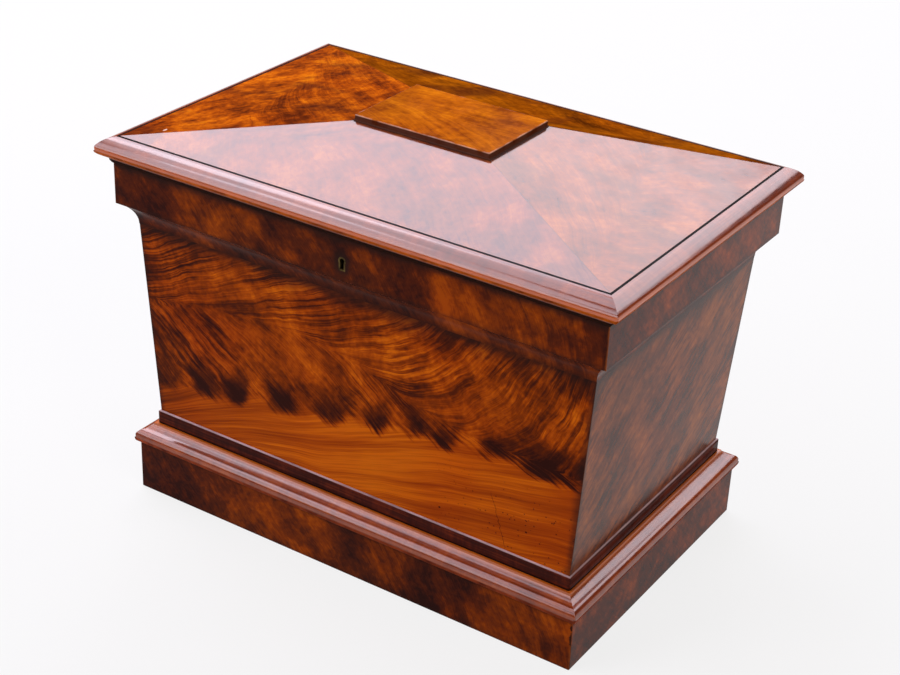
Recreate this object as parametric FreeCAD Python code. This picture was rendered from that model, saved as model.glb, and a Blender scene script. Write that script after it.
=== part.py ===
import FreeCAD, Part
import math
import os

# A sarcophagus cellarette: a tapered mahogany case on a moulded plinth, lined in zinc and divided
# for bottles, with a hipped lid on two butt hinges and a box lock. Millimetres. The origin is on the
# floor under the middle of the case; +X is to the right along the front, -Y is the front, +Z is up.

Vec = FreeCAD.Vector

# ---- driving dimensions ---------------------------------------------------------------------------

# overall
LID_LENGTH = 740.0          # along X, over the nose of the lid's moulding
LID_DEPTH = 480.0           # along Y, over the nose
CASE_HEIGHT = 474.0         # floor to the joint under the lid
LID_HEIGHT = 81.0           # joint to the top of the tablet

# plinth
PLINTH_HEIGHT = 72.0
PLINTH_BOARD = 22.0         # thickness of its rails
PLINTH_PROJECTION = 21.4    # face of the plinth beyond the foot of the body
PLINTH_ARRIS = 1.5          # rounding of its upright corners and its lower edge
GLUE_BLOCK_LEG = 42.0       # legs of the triangular blocks in its corners
GLUE_BLOCK_LIFT = 6.0       # they stop this far above the floor

# plinth cap
CAP_HEIGHT = 26.6
CAP_WIDTH = 55.0
CAP_PROJECTION = 26.8       # nose beyond the foot of the body

# body
FOOT_INSET_X = 54.9         # foot of the body, in from the nose of the lid at the ends
FOOT_INSET_Y = 46.4         # and at the front and back
SHOULDER_INSET = 37.0       # top of the body, under the cove, in from the nose all round
BODY_ARRIS = 1.2            # rounding of its upright corners
VENEER = 1.6                # saw-cut veneer
BOARD = 16.0                # carcass boards
BOTTOM_BOARD = 16.0
TAILS = 6                   # dovetails at each corner
TAIL_SHARE = 0.74           # width of a tail at its end, as a share of its pitch
TAIL_SLOPE = 1.0 / 6.0

# foot moulding
FOOT_HEIGHT = 18.7
FOOT_PROJECTION = 4.1
FOOT_ROUND = 4.3            # height of the rounded top edge

# frieze, cove and rim
FRIEZE_INSET = 16.8
FRIEZE_HEIGHT = 54.2
FRIEZE_ARRIS = 1.0
COVE_HEIGHT = 29.8
RIM_HEIGHT = 5.0
RIM_OVERHANG = 1.5          # over the edge of the liner
RIM_ROUND = 2.0

# liner and bottle divisions
LINER = 1.6
DIVIDER = 6.0
DIVIDER_HEIGHT = 165.0
CELLS_ALONG = 5
CELLS_ACROSS = 3
DIVIDER_GAP = 0.3           # between a divider's ends and the liner
HALVING_GAP = 0.2           # in the halved joints

# lid
LID_RAIL_WIDTH = 55.0       # nose to the inner edge of the moulded rails
SLOPE_BOARD = 12.0          # thickness of the slopes, measured plumb
SLOPE_FOOT = 35.8           # outer edge of the slopes above the joint
STRING_INSET = 20.9         # outer edge of the stringing, in from the nose
STRING_WIDTH = 2.2
STRING_DEPTH = 2.0
TABLET_LENGTH = 195.4
TABLET_DEPTH = 134.4
TABLET_THICK = 7.9
TABLET_ROUND = 1.2
TABLET_FILLET = 1.3         # thickness of the fillet round its base
TABLET_FILLET_OUT = 0.9
TABLET_PLUG_INSET = 12.0    # the plug under it, in from its ends
NOSE_CORNER = 3.0           # rounding of the mitred corners of the mouldings, in plan
LINING = 6.0                # panel that closes the hollow of the lid
LINING_RECESS = 4.0         # above the joint

# butt hinges
HINGE_SPACING = 400.0
HINGE_LENGTH = 63.0
HINGE_LEAF = 18.5           # width of a leaf, from the back of the frieze
LEAF_THICK = 1.8
KNUCKLES = 3
KNUCKLE_RADIUS = 4.0
KNUCKLE_END_GAP = 0.2
PIN_RADIUS = 2.0
PIN_GAP = 0.05
HINGE_CLEARANCE = 0.5       # knuckles to the wood round them

# screw holes
SCREW_HEAD_RADIUS = 3.2
SCREW_RADIUS = 1.5
SCREW_STAGGER = 2.0         # the holes of a hinge leaf to each side of its middle line
LOCK_SCREW_HEAD_RADIUS = 2.4
LOCK_SCREW_RADIUS = 1.2

# lock
LOCK_LENGTH = 64.0
LOCK_DEPTH = 37.5           # below the underside of the selvedge
LOCK_THICK = 10.0
LOCK_PLATE = 1.5            # front plate and cap
LOCK_WALL = 2.0
SELVEDGE_LENGTH = 76.0
SELVEDGE_WIDTH = 12.0
SELVEDGE_THICK = 2.5
LOCK_SETBACK = 8.8          # middle of the lock behind the outer face of the board, at the joint
LINK_PLATE_LENGTH = 72.0
LINK_PLATE_THICK = 2.0
LINK_SPACING = 28.0
LINK_THICK = 3.0
LINK_GAP = 0.6              # between a link and the plates of the lock
LINK_CHEEK = 1.0            # metal on each side of its eye
LINK_DROP = 14.0
LINK_EYE_HEIGHT = 6.0
LINK_FOOT = 2.0             # metal below the eye
LINK_SLOT_GAP = 0.9         # round a link in the selvedge
BOLT_TRAVEL = 6.0
BOLT_GAP = 0.3
BOLT_HEIGHT = 9.5
PRONG_HEIGHT = 4.6
PRONG_SIDE_GAP = 0.4        # in the eye
PRONG_GAP = 0.5             # tip of a prong to its link, unlocked

# keyhole
KEYHOLE_DROP = 29.0         # centre of its round head below the joint
KEYHOLE_HEAD_RADIUS = 3.3
KEYHOLE_SLOT = 5.2          # width of the lower part
KEYHOLE_TAIL = 10.6         # bottom of the slot below the centre of the head
TALON_RADIUS = 4.6          # hollow under the bolt that the key's bit turns in
ESCUTCHEON_WALL = 2.1
ESCUTCHEON_DEPTH = 8.0

# ---- places worked out from them ------------------------------------------------------------------

CAP_FLOOR = PLINTH_HEIGHT                       # underside of the plinth cap
BODY_FLOOR = PLINTH_HEIGHT + CAP_HEIGHT         # foot of the body
JOINT = CASE_HEIGHT
FRIEZE_FLOOR = JOINT - FRIEZE_HEIGHT
SHOULDER = FRIEZE_FLOOR - COVE_HEIGHT           # top of the veneered body
RIM_FLOOR = JOINT - RIM_HEIGHT
TABLET_FLOOR = JOINT + LID_HEIGHT - TABLET_THICK

NOSE = (LID_LENGTH / 2, LID_DEPTH / 2)          # half sizes in X and Y
FOOT = (NOSE[0] - FOOT_INSET_X, NOSE[1] - FOOT_INSET_Y)
SHOULDER_HALF = (NOSE[0] - SHOULDER_INSET, NOSE[1] - SHOULDER_INSET)
FRIEZE_HALF = (NOSE[0] - FRIEZE_INSET, NOSE[1] - FRIEZE_INSET)
BATTER = tuple((top - foot) / (SHOULDER - BODY_FLOOR) for top, foot in zip(SHOULDER_HALF, FOOT))

HINGE_AXIS_Y = FRIEZE_HALF[1] + HINGE_CLEARANCE + KNUCKLE_RADIUS
LINK_WIDTH = LOCK_THICK - 2 * (LOCK_PLATE + LINK_GAP)
LINK_EYE_WIDTH = LINK_WIDTH - 2 * LINK_CHEEK
PRONG_THICK = LINK_EYE_WIDTH - 2 * PRONG_SIDE_GAP
FAR = LID_LENGTH + LID_DEPTH                    # longer than anything here

SIDES = {"front": 0, "right": 90, "back": 180, "left": 270}     # turn about Z, from the front


def body_half(z, inward=0.0):
    """Half sizes of the battered body at a height, less a thickness."""
    return tuple(foot + slope * (z - BODY_FLOOR) - inward for foot, slope in zip(FOOT, BATTER))


# ---- making shapes --------------------------------------------------------------------------------

def outline(start, *moves):
    """A closed wire in the YZ plane. Points are (outward, height), outward along -Y. A move is the
    next point, or a pair of points: one that an arc passes and its end."""
    edges = []
    here = start
    for move in moves + (start,):
        if isinstance(move[0], tuple):
            middle, there = move
            edges.append(Part.Arc(at_front(here), at_front(middle), at_front(there)).toShape())
        else:
            there = move
            if there != here:
                edges.append(Part.LineSegment(at_front(here), at_front(there)).toShape())
        here = there
    return Part.Wire(edges)


def at_front(point):
    return Vec(0, -point[0], point[1])


def box(low, high):
    size = [b - a for a, b in zip(low, high)]
    return Part.makeBox(size[0], size[1], size[2], Vec(*low))


def centred_box(middle, size):
    return box([m - s / 2 for m, s in zip(middle, size)], [m + s / 2 for m, s in zip(middle, size)])


def hull_between(low_points, high_points):
    """A solid with flat faces between two polygons of as many corners, side by side."""
    rings = [[Vec(*point) for point in points] for points in (low_points, high_points)]
    low, high = rings
    following = list(range(1, len(low))) + [0]
    quads = [[low[i], low[j], high[j], high[i]] for i, j in enumerate(following)]
    faces = [Part.Face(Part.makePolygon(corners + corners[:1])) for corners in rings + quads]
    shell = Part.makeShell(faces)
    shell.sewShape()
    solid = Part.makeSolid(shell)
    if solid.Volume < 0:
        solid.reverse()
    return solid


def rectangle(half, z):
    x, y = half
    return [(-x, -y, z), (x, -y, z), (x, y, z), (-x, y, z)]


def frustum(low_half, low, high_half, high):
    """A block centred on the Z axis whose half sizes change evenly with height."""
    (x, y), (top_x, top_y) = low_half, high_half
    block = Part.makeWedge(-x, 0, -y, -top_y, -top_x, x, high - low, y, top_y, top_x)
    block.rotate(Vec(0, 0, 0), Vec(1, 0, 0), 90)
    block.translate(Vec(0, 0, low))
    return block


def softened(solid, radius):
    """A block with its four upright corners rounded."""
    upright = [edge for edge in solid.Edges if edge.BoundBox.ZLength > solid.BoundBox.ZLength - 0.01]
    return solid.makeFillet(radius, upright)


def body_block(low, high, inward=0.0):
    """The battered body as a block between two heights, taken in by a thickness."""
    return frustum(body_half(low, inward), low, body_half(high, inward), high)


def turned(shape, side):
    """A shape made at the front, turned to its side of the case."""
    copy = shape.copy()
    copy.rotate(Vec(0, 0, 0), Vec(0, 0, 1), SIDES[side])
    return copy


def along_and_out(side, pair):
    """A pair of X and Y values as (along the side, outward from the middle)."""
    return pair if side in ("front", "back") else (pair[1], pair[0])


def mitre_wedge(side, low, low_half, high, high_half):
    """The room of one side between its two mitre planes, which run at 45 degrees in plan through the
    corners of a rectangle at each height."""
    sections = []
    for z, half in ((low, low_half), (high, high_half)):
        along, out = along_and_out(side, half)
        lead = along - out
        near = max(-lead, 0.0) + 1.0
        sections.append([(-near - lead, -near, z), (near + lead, -near, z),
                         (FAR + lead, -FAR, z), (-FAR - lead, -FAR, z)])
    return turned(hull_between(*sections), side)


def ring_side(side, ring, low, low_half, high, high_half):
    """One side of a ring, cut at its mitres."""
    return ring.common(mitre_wedge(side, low, low_half, high, high_half))


def moulding(side, wire, half):
    """A straight moulding round a rectangle, one side of it with mitred ends whose tips are rounded.
    The wire's points are counted outward from that rectangle."""
    along, out = along_and_out(side, half)
    bounds = wire.BoundBox
    tip_half = tuple(h - bounds.YMin for h in half)
    tips = softened(frustum(tip_half, bounds.ZMin, tip_half, bounds.ZMax), NOSE_CORNER)
    bar = Part.Face(wire).extrude(Vec(2 * FAR, 0, 0))
    bar.translate(Vec(-FAR, -out, 0))
    bar = turned(bar, side).common(tips)
    return ring_side(side, bar, bounds.ZMin - 1, half, bounds.ZMax + 1, half)


def screw_hole(x, y, up, thick, head_radius, radius):
    """A countersunk hole through a plate that lies against the joint, above it (1) or below it (-1).
    It narrows from the head's size at the joint to the shank's on the plate's other face."""
    return Part.makeCone(head_radius, radius, thick, Vec(x, y, JOINT), Vec(0, 0, up))


# ---- plinth ---------------------------------------------------------------------------------------

def plinth_parts():
    parts = {}
    outer = tuple(h + PLINTH_PROJECTION for h in FOOT)
    inner = tuple(h - PLINTH_BOARD for h in outer)
    block = frustum(outer, 0, outer, PLINTH_HEIGHT)
    block = block.makeFillet(PLINTH_ARRIS, [edge for edge in block.Edges if edge.BoundBox.ZMin < 0.01])
    ring = block.cut(frustum(inner, -1, inner, PLINTH_HEIGHT + 1))
    for side in SIDES:
        parts["plinth_" + side] = ring_side(side, ring, -1, outer, PLINTH_HEIGHT + 1, outer)
    blocks = []
    for sx in (-1, 1):
        for sy in (-1, 1):
            corner = (sx * inner[0], sy * inner[1])
            plan = [corner, (corner[0] - sx * GLUE_BLOCK_LEG, corner[1]),
                    (corner[0], corner[1] - sy * GLUE_BLOCK_LEG)]
            blocks.append(hull_between([(x, y, GLUE_BLOCK_LIFT) for x, y in plan],
                               [(x, y, PLINTH_HEIGHT) for x, y in plan]))
    parts["plinth_corner_blocks"] = Part.makeCompound(blocks)
    for side in SIDES:
        parts["plinth_cap_" + side] = moulding(side, cap_outline(), FOOT)
    return parts


def cap_outline():
    """Flat bed for the body, a small fillet, a long shallow hollow, a rounded shoulder and a blunt
    nose."""
    low = CAP_FLOOR
    top = low + CAP_HEIGHT
    nose = CAP_PROJECTION
    under = PLINTH_PROJECTION
    return outline((under, low), (nose - CAP_WIDTH, low), (nose - CAP_WIDTH, top),
                   (nose - 19.2, top), (nose - 18.6, top - 2.8),
                   ((nose - 12.8, top - 7.4), (nose - 6.8, top - 9.5)),
                   ((nose - 2.7, top - 12.5), (nose - 0.5, top - 17.0)),
                   ((nose, low + 6.2), (nose - 0.6, low + 2.6)),
                   ((nose - 1.6, low + 0.7), (under, low)))


# ---- body -----------------------------------------------------------------------------------------

def board_slab(side):
    """A carcass board of full length, before its corners are jointed."""
    sections = []
    for z in (BODY_FLOOR, RIM_FLOOR):
        along, out = along_and_out(side, body_half(z, VENEER))
        sections.append([(-along, -out, z), (along, -out, z),
                         (along, BOARD - out, z), (-along, BOARD - out, z)])
    return turned(hull_between(*sections), side)


def tail_prisms(face):
    """The room of the tails that come through the front (-1) or back (1) board, drawn on the end
    boards and run from end to end of the case."""
    span = RIM_FLOOR - BODY_FLOOR
    pitch = span / TAILS
    outer = max(body_half(z, VENEER)[1] for z in (BODY_FLOOR, RIM_FLOOR))
    root = outer - 2 * BOARD
    wide = pitch * TAIL_SHARE / 2
    narrow = wide - 2 * BOARD * TAIL_SLOPE
    prisms = []
    for number in range(TAILS):
        middle = BODY_FLOOR + pitch * (number + 0.5)
        plan = [(outer, middle - wide), (outer, middle + wide),
                (root, middle + narrow), (root, middle - narrow)]
        low, high = ([(x, face * y, z) for y, z in plan] for x in (-FAR, FAR))
        prisms.append(hull_between(low, high))
    return prisms


def carcass_parts():
    slabs = {side: board_slab(side) for side in SIDES}
    boards = {}
    for side, face in (("front", -1), ("back", 1)):
        ends = slabs["left"].fuse(slabs["right"])
        tails = ends.common(Part.makeCompound(tail_prisms(face)))
        boards[side] = slabs[side].cut(tails)
    for side in ("left", "right"):
        boards[side] = slabs[side].cut([boards["front"], boards["back"]])
    boards["front"] = boards["front"].cut([lock_body(), keyhole_cutter()])
    parts = {side + "_board": shape for side, shape in boards.items()}
    parts["bottom_board"] = body_block(BODY_FLOOR, BODY_FLOOR + BOTTOM_BOARD, VENEER + BOARD)

    skin = softened(body_block(BODY_FLOOR, SHOULDER), BODY_ARRIS)
    skin = skin.cut(body_block(BODY_FLOOR, SHOULDER, VENEER))
    for side in SIDES:
        parts[side + "_veneer"] = ring_side(side, skin, BODY_FLOOR, FOOT, SHOULDER, SHOULDER_HALF)

    body = body_block(BODY_FLOOR, RIM_FLOOR)
    for side in SIDES:
        parts["foot_moulding_" + side] = moulding(side, foot_outline(), FOOT).cut(body)
    return parts


def foot_outline():
    """A thin band with a rounded top edge. Its back is cut to the body afterwards."""
    low = BODY_FLOOR
    top = low + FOOT_HEIGHT
    out = FOOT_PROJECTION
    inner = -VENEER
    return outline((out, low), (inner, low), (inner, top), (out * 0.45, top),
                   ((out * 0.86, top - FOOT_ROUND * 0.36), (out, top - FOOT_ROUND)))


# ---- frieze, cove and rim -------------------------------------------------------------------------

def frieze_parts():
    parts = {}
    carcass = body_block(BODY_FLOOR, JOINT, VENEER)
    ring = softened(frustum(FRIEZE_HALF, FRIEZE_FLOOR, FRIEZE_HALF, JOINT), FRIEZE_ARRIS).cut(carcass)
    for side in SIDES:
        parts["frieze_" + side] = ring_side(side, ring, FRIEZE_FLOOR - 1, FRIEZE_HALF, JOINT + 1, FRIEZE_HALF)
    parts["frieze_front"] = parts["frieze_front"].cut([escutcheon_block(), keyhole_cutter()])
    parts["frieze_back"] = parts["frieze_back"].cut(hinge_recesses(-1))

    for side in SIDES:
        parts["cove_" + side] = moulding(side, cove_outline(), SHOULDER_HALF).cut(carcass)

    bore = tuple(h - RIM_OVERHANG for h in body_half(JOINT, VENEER + BOARD + LINER))
    lip = frustum(bore, RIM_FLOOR - 1, bore, JOINT + 1)
    rim = body_block(RIM_FLOOR, JOINT, VENEER).cut(lip)
    inner_top = [edge for edge in rim.Edges if edge.BoundBox.ZMin > JOINT - 0.01
                 and max(edge.BoundBox.XMax, -edge.BoundBox.XMin) < bore[0] + 0.01
                 and max(edge.BoundBox.YMax, -edge.BoundBox.YMin) < bore[1] + 0.01]
    rim = rim.makeFillet(RIM_ROUND, inner_top)
    for side in SIDES:
        parts["rim_" + side] = ring_side(side, rim, RIM_FLOOR, body_half(RIM_FLOOR), JOINT, body_half(JOINT))
    parts["rim_front"] = parts["rim_front"].cut([selvedge_block(), lock_body()])
    parts["rim_back"] = parts["rim_back"].cut(hinge_recesses(-1))
    return parts


def cove_outline():
    """A hollow from the lower edge of the frieze to the body, which it meets without a break."""
    rise = COVE_HEIGHT
    run = SHOULDER_INSET - FRIEZE_INSET
    radius = (run ** 2 + rise ** 2) / (2 * run)
    half_turn = math.asin(rise / radius) / 2
    middle = (radius * (1 - math.cos(half_turn)), SHOULDER + radius * math.sin(half_turn))
    inner = -BOARD
    return outline((0.0, SHOULDER), (middle, (run, FRIEZE_FLOOR)), (inner, FRIEZE_FLOOR), (inner, SHOULDER))


# ---- liner and bottle divisions -------------------------------------------------------------------

def liner_parts():
    floor = BODY_FLOOR + BOTTOM_BOARD
    wall = VENEER + BOARD
    outer = body_block(floor, RIM_FLOOR, wall)
    hollow = frustum(body_half(floor + LINER, wall + LINER), floor + LINER,
                     body_half(RIM_FLOOR + 1, wall + LINER), RIM_FLOOR + 1)
    parts = {"liner": outer.cut(hollow)}

    low = floor + LINER
    high = low + DIVIDER_HEIGHT
    halving = low + DIVIDER_HEIGHT / 2
    room = body_block(low, high, wall + LINER + DIVIDER_GAP)
    inside = body_half(low, wall + LINER)
    across = divider_places(inside[0], CELLS_ALONG)
    along = divider_places(inside[1], CELLS_ACROSS)
    slot = DIVIDER + HALVING_GAP

    long_dividers = []
    for y in along:
        board = box((-FAR, y - DIVIDER / 2, low), (FAR, y + DIVIDER / 2, high)).common(room)
        notches = [box((x - slot / 2, -FAR, halving), (x + slot / 2, FAR, high + 1)) for x in across]
        long_dividers.append(board.cut(notches))
    cross_dividers = []
    for x in across:
        board = box((x - DIVIDER / 2, -FAR, low), (x + DIVIDER / 2, FAR, high)).common(room)
        notches = [box((-FAR, y - slot / 2, low - 1), (FAR, y + slot / 2, halving)) for y in along]
        cross_dividers.append(board.cut(notches))
    parts["dividers_long"] = Part.makeCompound(long_dividers)
    parts["dividers_cross"] = Part.makeCompound(cross_dividers)
    return parts


def divider_places(half_room, cells):
    """Middles of the dividers that part a width into equal cells."""
    cell = (2 * half_room - (cells - 1) * DIVIDER) / cells
    return [-half_room + (number + 1) * cell + (number + 0.5) * DIVIDER for number in range(cells - 1)]


# ---- lid ------------------------------------------------------------------------------------------

def roof(lower_by=0.0):
    """The hipped top as a block, from the joint up to its slopes and the flat under the tablet."""
    foot = JOINT + SLOPE_FOOT - lower_by
    crown = TABLET_FLOOR - lower_by
    edge = tuple(h - STRING_INSET - STRING_WIDTH for h in NOSE)
    tablet = (TABLET_LENGTH / 2, TABLET_DEPTH / 2)
    return frustum(edge, JOINT, edge, foot).fuse(frustum(edge, foot, tablet, crown))


def plug_half():
    """Half sizes of the hole in the crown. Its corners lie on the hips."""
    edge = tuple(h - STRING_INSET - STRING_WIDTH for h in NOSE)
    tablet = (TABLET_LENGTH / 2, TABLET_DEPTH / 2)
    hip = (edge[1] - tablet[1]) / (edge[0] - tablet[0])
    return (tablet[0] - TABLET_PLUG_INSET, tablet[1] - TABLET_PLUG_INSET * hip)


def hip_plan(side):
    """Plan of one slope between its hips, from the stringing to the hole under the tablet."""
    outer = tuple(h - STRING_INSET - STRING_WIDTH for h in NOSE)
    corners = {"front": ((-1, -1), (1, -1)), "right": ((1, -1), (1, 1)),
               "back": ((1, 1), (-1, 1)), "left": ((-1, 1), (-1, -1))}
    first, second = corners[side]
    plug = plug_half()
    return [(first[0] * outer[0], first[1] * outer[1]), (second[0] * outer[0], second[1] * outer[1]),
            (second[0] * plug[0], second[1] * plug[1]), (first[0] * plug[0], first[1] * plug[1])]


def lid_parts():
    parts = {}
    shell = roof().cut(roof(SLOPE_BOARD))
    for side in SIDES:
        plan = hip_plan(side)
        column = hull_between([(x, y, JOINT) for x, y in plan], [(x, y, JOINT + LID_HEIGHT) for x, y in plan])
        parts["lid_slope_" + side] = shell.common(column)

    for side in SIDES:
        parts["lid_moulding_" + side] = moulding(side, lid_edge_outline(), NOSE).cut(shell)
    parts["lid_moulding_back"] = parts["lid_moulding_back"].cut(hinge_recesses(1) + knuckle_notches())
    parts["lid_moulding_front"] = parts["lid_moulding_front"].cut(link_plate())

    outer = tuple(h - STRING_INSET for h in NOSE)
    inner = tuple(h - STRING_WIDTH for h in outer)
    top = JOINT + SLOPE_FOOT
    low = top - STRING_DEPTH
    ring = frustum(outer, low, outer, top).cut(frustum(inner, low - 1, inner, top + 1))
    strings = [ring_side(side, ring, low - 1, outer, top + 1, outer) for side in SIDES]
    parts["lid_stringing"] = Part.makeCompound(strings)

    parts["tablet"] = tablet()
    room = tuple(h - LID_RAIL_WIDTH for h in NOSE)
    low = JOINT + LINING_RECESS
    parts["lid_lining"] = frustum(room, low, room, low + LINING)
    return parts


def lid_edge_outline():
    """The lid's edge: a fall from the stringing that rounds over into the nose, a hollow return under
    it, a step, and a second hollow down to the joint. The seat of the slopes is cut afterwards."""
    string_top = JOINT + SLOPE_FOOT
    bed = string_top - STRING_DEPTH
    inner = -LID_RAIL_WIDTH
    string_out = -STRING_INSET
    string_in = string_out - STRING_WIDTH
    return outline((-17.4, JOINT), (inner, JOINT), (inner, bed), (string_in, bed), (string_out, bed),
                   (string_out, string_top - 0.2),
                   ((-10.5, JOINT + 32.2), (-2.1, JOINT + 25.3)),
                   ((0.0, JOINT + 19.5), (-0.9, JOINT + 15.6)),
                   ((-6.0, JOINT + 11.4), (-12.7, JOINT + 8.2)),
                   (-13.2, JOINT + 7.0),
                   ((-14.8, JOINT + 3.2), (-17.4, JOINT)))


def tablet():
    half = (TABLET_LENGTH / 2, TABLET_DEPTH / 2)
    base = tuple(h + TABLET_FILLET_OUT for h in half)
    top = TABLET_FLOOR + TABLET_THICK
    slab = frustum(half, TABLET_FLOOR, half, top)
    slab = slab.makeFillet(TABLET_ROUND, [edge for edge in slab.Edges if edge.BoundBox.ZMax > top - 0.01])
    fillet = frustum(base, TABLET_FLOOR, base, TABLET_FLOOR + TABLET_FILLET)
    plug = frustum(plug_half(), TABLET_FLOOR - SLOPE_BOARD, plug_half(), TABLET_FLOOR)
    return slab.fuse([fillet, plug])


# ---- hinges ---------------------------------------------------------------------------------------

def hinge_middles():
    return {"left": -HINGE_SPACING / 2, "right": HINGE_SPACING / 2}


def on_hinge_axis(radius, first, last):
    """A round bar about the axis of the hinges, between two places along X."""
    return Part.makeCylinder(radius, last - first, Vec(first, HINGE_AXIS_Y, JOINT), Vec(1, 0, 0))


def hinge_leaf(middle, up):
    """One leaf: 1 lies in the lid above the joint, -1 in the frieze under it."""
    start = middle - HINGE_LENGTH / 2
    pitch = HINGE_LENGTH / KNUCKLES
    low, high = sorted((JOINT, JOINT + up * LEAF_THICK))
    inner = FRIEZE_HALF[1] - HINGE_LEAF
    leaf = box((start, inner, low), (start + HINGE_LENGTH, FRIEZE_HALF[1] - 0.2, high))
    own = range(0, KNUCKLES, 2) if up < 0 else range(1, KNUCKLES, 2)
    pieces = []
    for number in own:
        first = start + number * pitch + (KNUCKLE_END_GAP if number else 0)
        last = start + (number + 1) * pitch - (KNUCKLE_END_GAP if number < KNUCKLES - 1 else 0)
        pieces.append(box((first, inner, low), (last, HINGE_AXIS_Y, high)))
        pieces.append(on_hinge_axis(KNUCKLE_RADIUS, first, last))
    bore = on_hinge_axis(PIN_RADIUS + PIN_GAP, start, start + HINGE_LENGTH)
    holes = [screw_hole(x, y, up, LEAF_THICK, SCREW_HEAD_RADIUS, SCREW_RADIUS)
             for x, y in hinge_screw_places(middle)]
    return leaf.fuse(pieces).cut([bore] + holes).removeSplitter()


def hinge_recesses(up):
    """Shallow beds for the leaves, open at the back."""
    low, high = sorted((JOINT, JOINT + up * LEAF_THICK))
    inner = FRIEZE_HALF[1] - HINGE_LEAF
    return [box((x - HINGE_LENGTH / 2, inner, low), (x + HINGE_LENGTH / 2, LID_DEPTH, high))
            for x in hinge_middles().values()]


def knuckle_notches():
    """Hollows under the lid's back moulding that clear the knuckles."""
    radius = KNUCKLE_RADIUS + HINGE_CLEARANCE
    reach = HINGE_LENGTH / 2 + HINGE_CLEARANCE
    return [on_hinge_axis(radius, x - reach, x + reach) for x in hinge_middles().values()]


def hinge_screw_places(middle):
    """Three holes in a leaf, the outer two set back from the row."""
    middle_y = FRIEZE_HALF[1] - HINGE_LEAF / 2
    step = HINGE_LENGTH / 3
    return [(middle + number * step, middle_y - (SCREW_STAGGER if number else -SCREW_STAGGER))
            for number in (-1, 0, 1)]


def hinge_parts():
    parts = {}
    pins = []
    for name, middle in hinge_middles().items():
        parts["hinge_leaf_case_" + name] = hinge_leaf(middle, -1)
        parts["hinge_leaf_lid_" + name] = hinge_leaf(middle, 1)
        pins.append(on_hinge_axis(PIN_RADIUS, middle - HINGE_LENGTH / 2, middle + HINGE_LENGTH / 2))
    parts["hinge_pins"] = Part.makeCompound(pins)
    return parts


# ---- lock -----------------------------------------------------------------------------------------

def lock_middle_y():
    return -(body_half(JOINT, VENEER)[1] - LOCK_SETBACK)


def keyhole_height():
    return JOINT - KEYHOLE_DROP


def selvedge_floor():
    return JOINT - SELVEDGE_THICK


def lock_body():
    y = lock_middle_y()
    top = selvedge_floor()
    return box((-LOCK_LENGTH / 2, y - LOCK_THICK / 2, top - LOCK_DEPTH),
               (LOCK_LENGTH / 2, y + LOCK_THICK / 2, top))


def selvedge_block():
    y = lock_middle_y()
    return box((-SELVEDGE_LENGTH / 2, y - SELVEDGE_WIDTH / 2, selvedge_floor()),
               (SELVEDGE_LENGTH / 2, y + SELVEDGE_WIDTH / 2, JOINT))


def keyhole_outline(grow):
    """A round head over a straight slot, widened all round. Drawn in the plane of the front."""
    centre = keyhole_height()
    radius = KEYHOLE_HEAD_RADIUS + grow
    half = KEYHOLE_SLOT / 2 + grow
    meet = centre - math.sqrt(radius ** 2 - half ** 2)
    low = centre - KEYHOLE_TAIL - grow
    left, right = Vec(-half, 0, meet), Vec(half, 0, meet)
    head = Part.Arc(left, Vec(0, 0, centre + radius), right).toShape()
    lines = Part.makePolygon([right, Vec(half, 0, low), Vec(-half, 0, low), left])
    return Part.Wire([head] + lines.Edges)


def keyhole_prism(grow, front, back):
    prism = Part.Face(keyhole_outline(grow)).extrude(Vec(0, back - front, 0))
    prism.translate(Vec(0, front, 0))
    return prism


def keyhole_cutter():
    """The way of the key, from outside the frieze into the lock's hollow."""
    front_plate_back = lock_middle_y() - LOCK_THICK / 2 + LOCK_PLATE
    return keyhole_prism(0.0, -FRIEZE_HALF[1] - 1, front_plate_back)


def escutcheon_block():
    return keyhole_prism(ESCUTCHEON_WALL, -FRIEZE_HALF[1] - 0.2, -FRIEZE_HALF[1] + ESCUTCHEON_DEPTH)


def escutcheon():
    """A brass thread round the keyhole, driven in flush."""
    block = keyhole_prism(ESCUTCHEON_WALL, -FRIEZE_HALF[1], -FRIEZE_HALF[1] + ESCUTCHEON_DEPTH)
    return block.cut(keyhole_cutter())


def link_middles():
    return [-LINK_SPACING / 2, LINK_SPACING / 2]


def link_plate():
    """The plate under the lid, with two links that drop into the lock. A link's eye runs along X."""
    y = lock_middle_y()
    half = SELVEDGE_WIDTH / 2
    plate = box((-LINK_PLATE_LENGTH / 2, y - half, JOINT),
                (LINK_PLATE_LENGTH / 2, y + half, JOINT + LINK_PLATE_THICK))
    eye_low = JOINT - LINK_DROP + LINK_FOOT
    links, eyes = [], []
    for x in link_middles():
        links.append(box((x - LINK_THICK / 2, y - LINK_WIDTH / 2, JOINT - LINK_DROP),
                         (x + LINK_THICK / 2, y + LINK_WIDTH / 2, JOINT + LINK_PLATE_THICK)))
        eyes.append(box((x - LINK_THICK, y - LINK_EYE_WIDTH / 2, eye_low),
                        (x + LINK_THICK, y + LINK_EYE_WIDTH / 2, eye_low + LINK_EYE_HEIGHT)))
    return plate.fuse(links).cut(eyes).removeSplitter()


def link_plate_holes():
    reach = LINK_PLATE_LENGTH / 2 - 2 * LOCK_SCREW_HEAD_RADIUS
    return [screw_hole(x, lock_middle_y(), 1, LINK_PLATE_THICK, LOCK_SCREW_HEAD_RADIUS, LOCK_SCREW_RADIUS)
            for x in (-reach, reach)]


def bolt_floor():
    """Underside of the bolt's bar. The bar passes under the links, its prongs through their eyes."""
    return JOINT - LINK_DROP - PRONG_GAP - BOLT_HEIGHT


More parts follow.
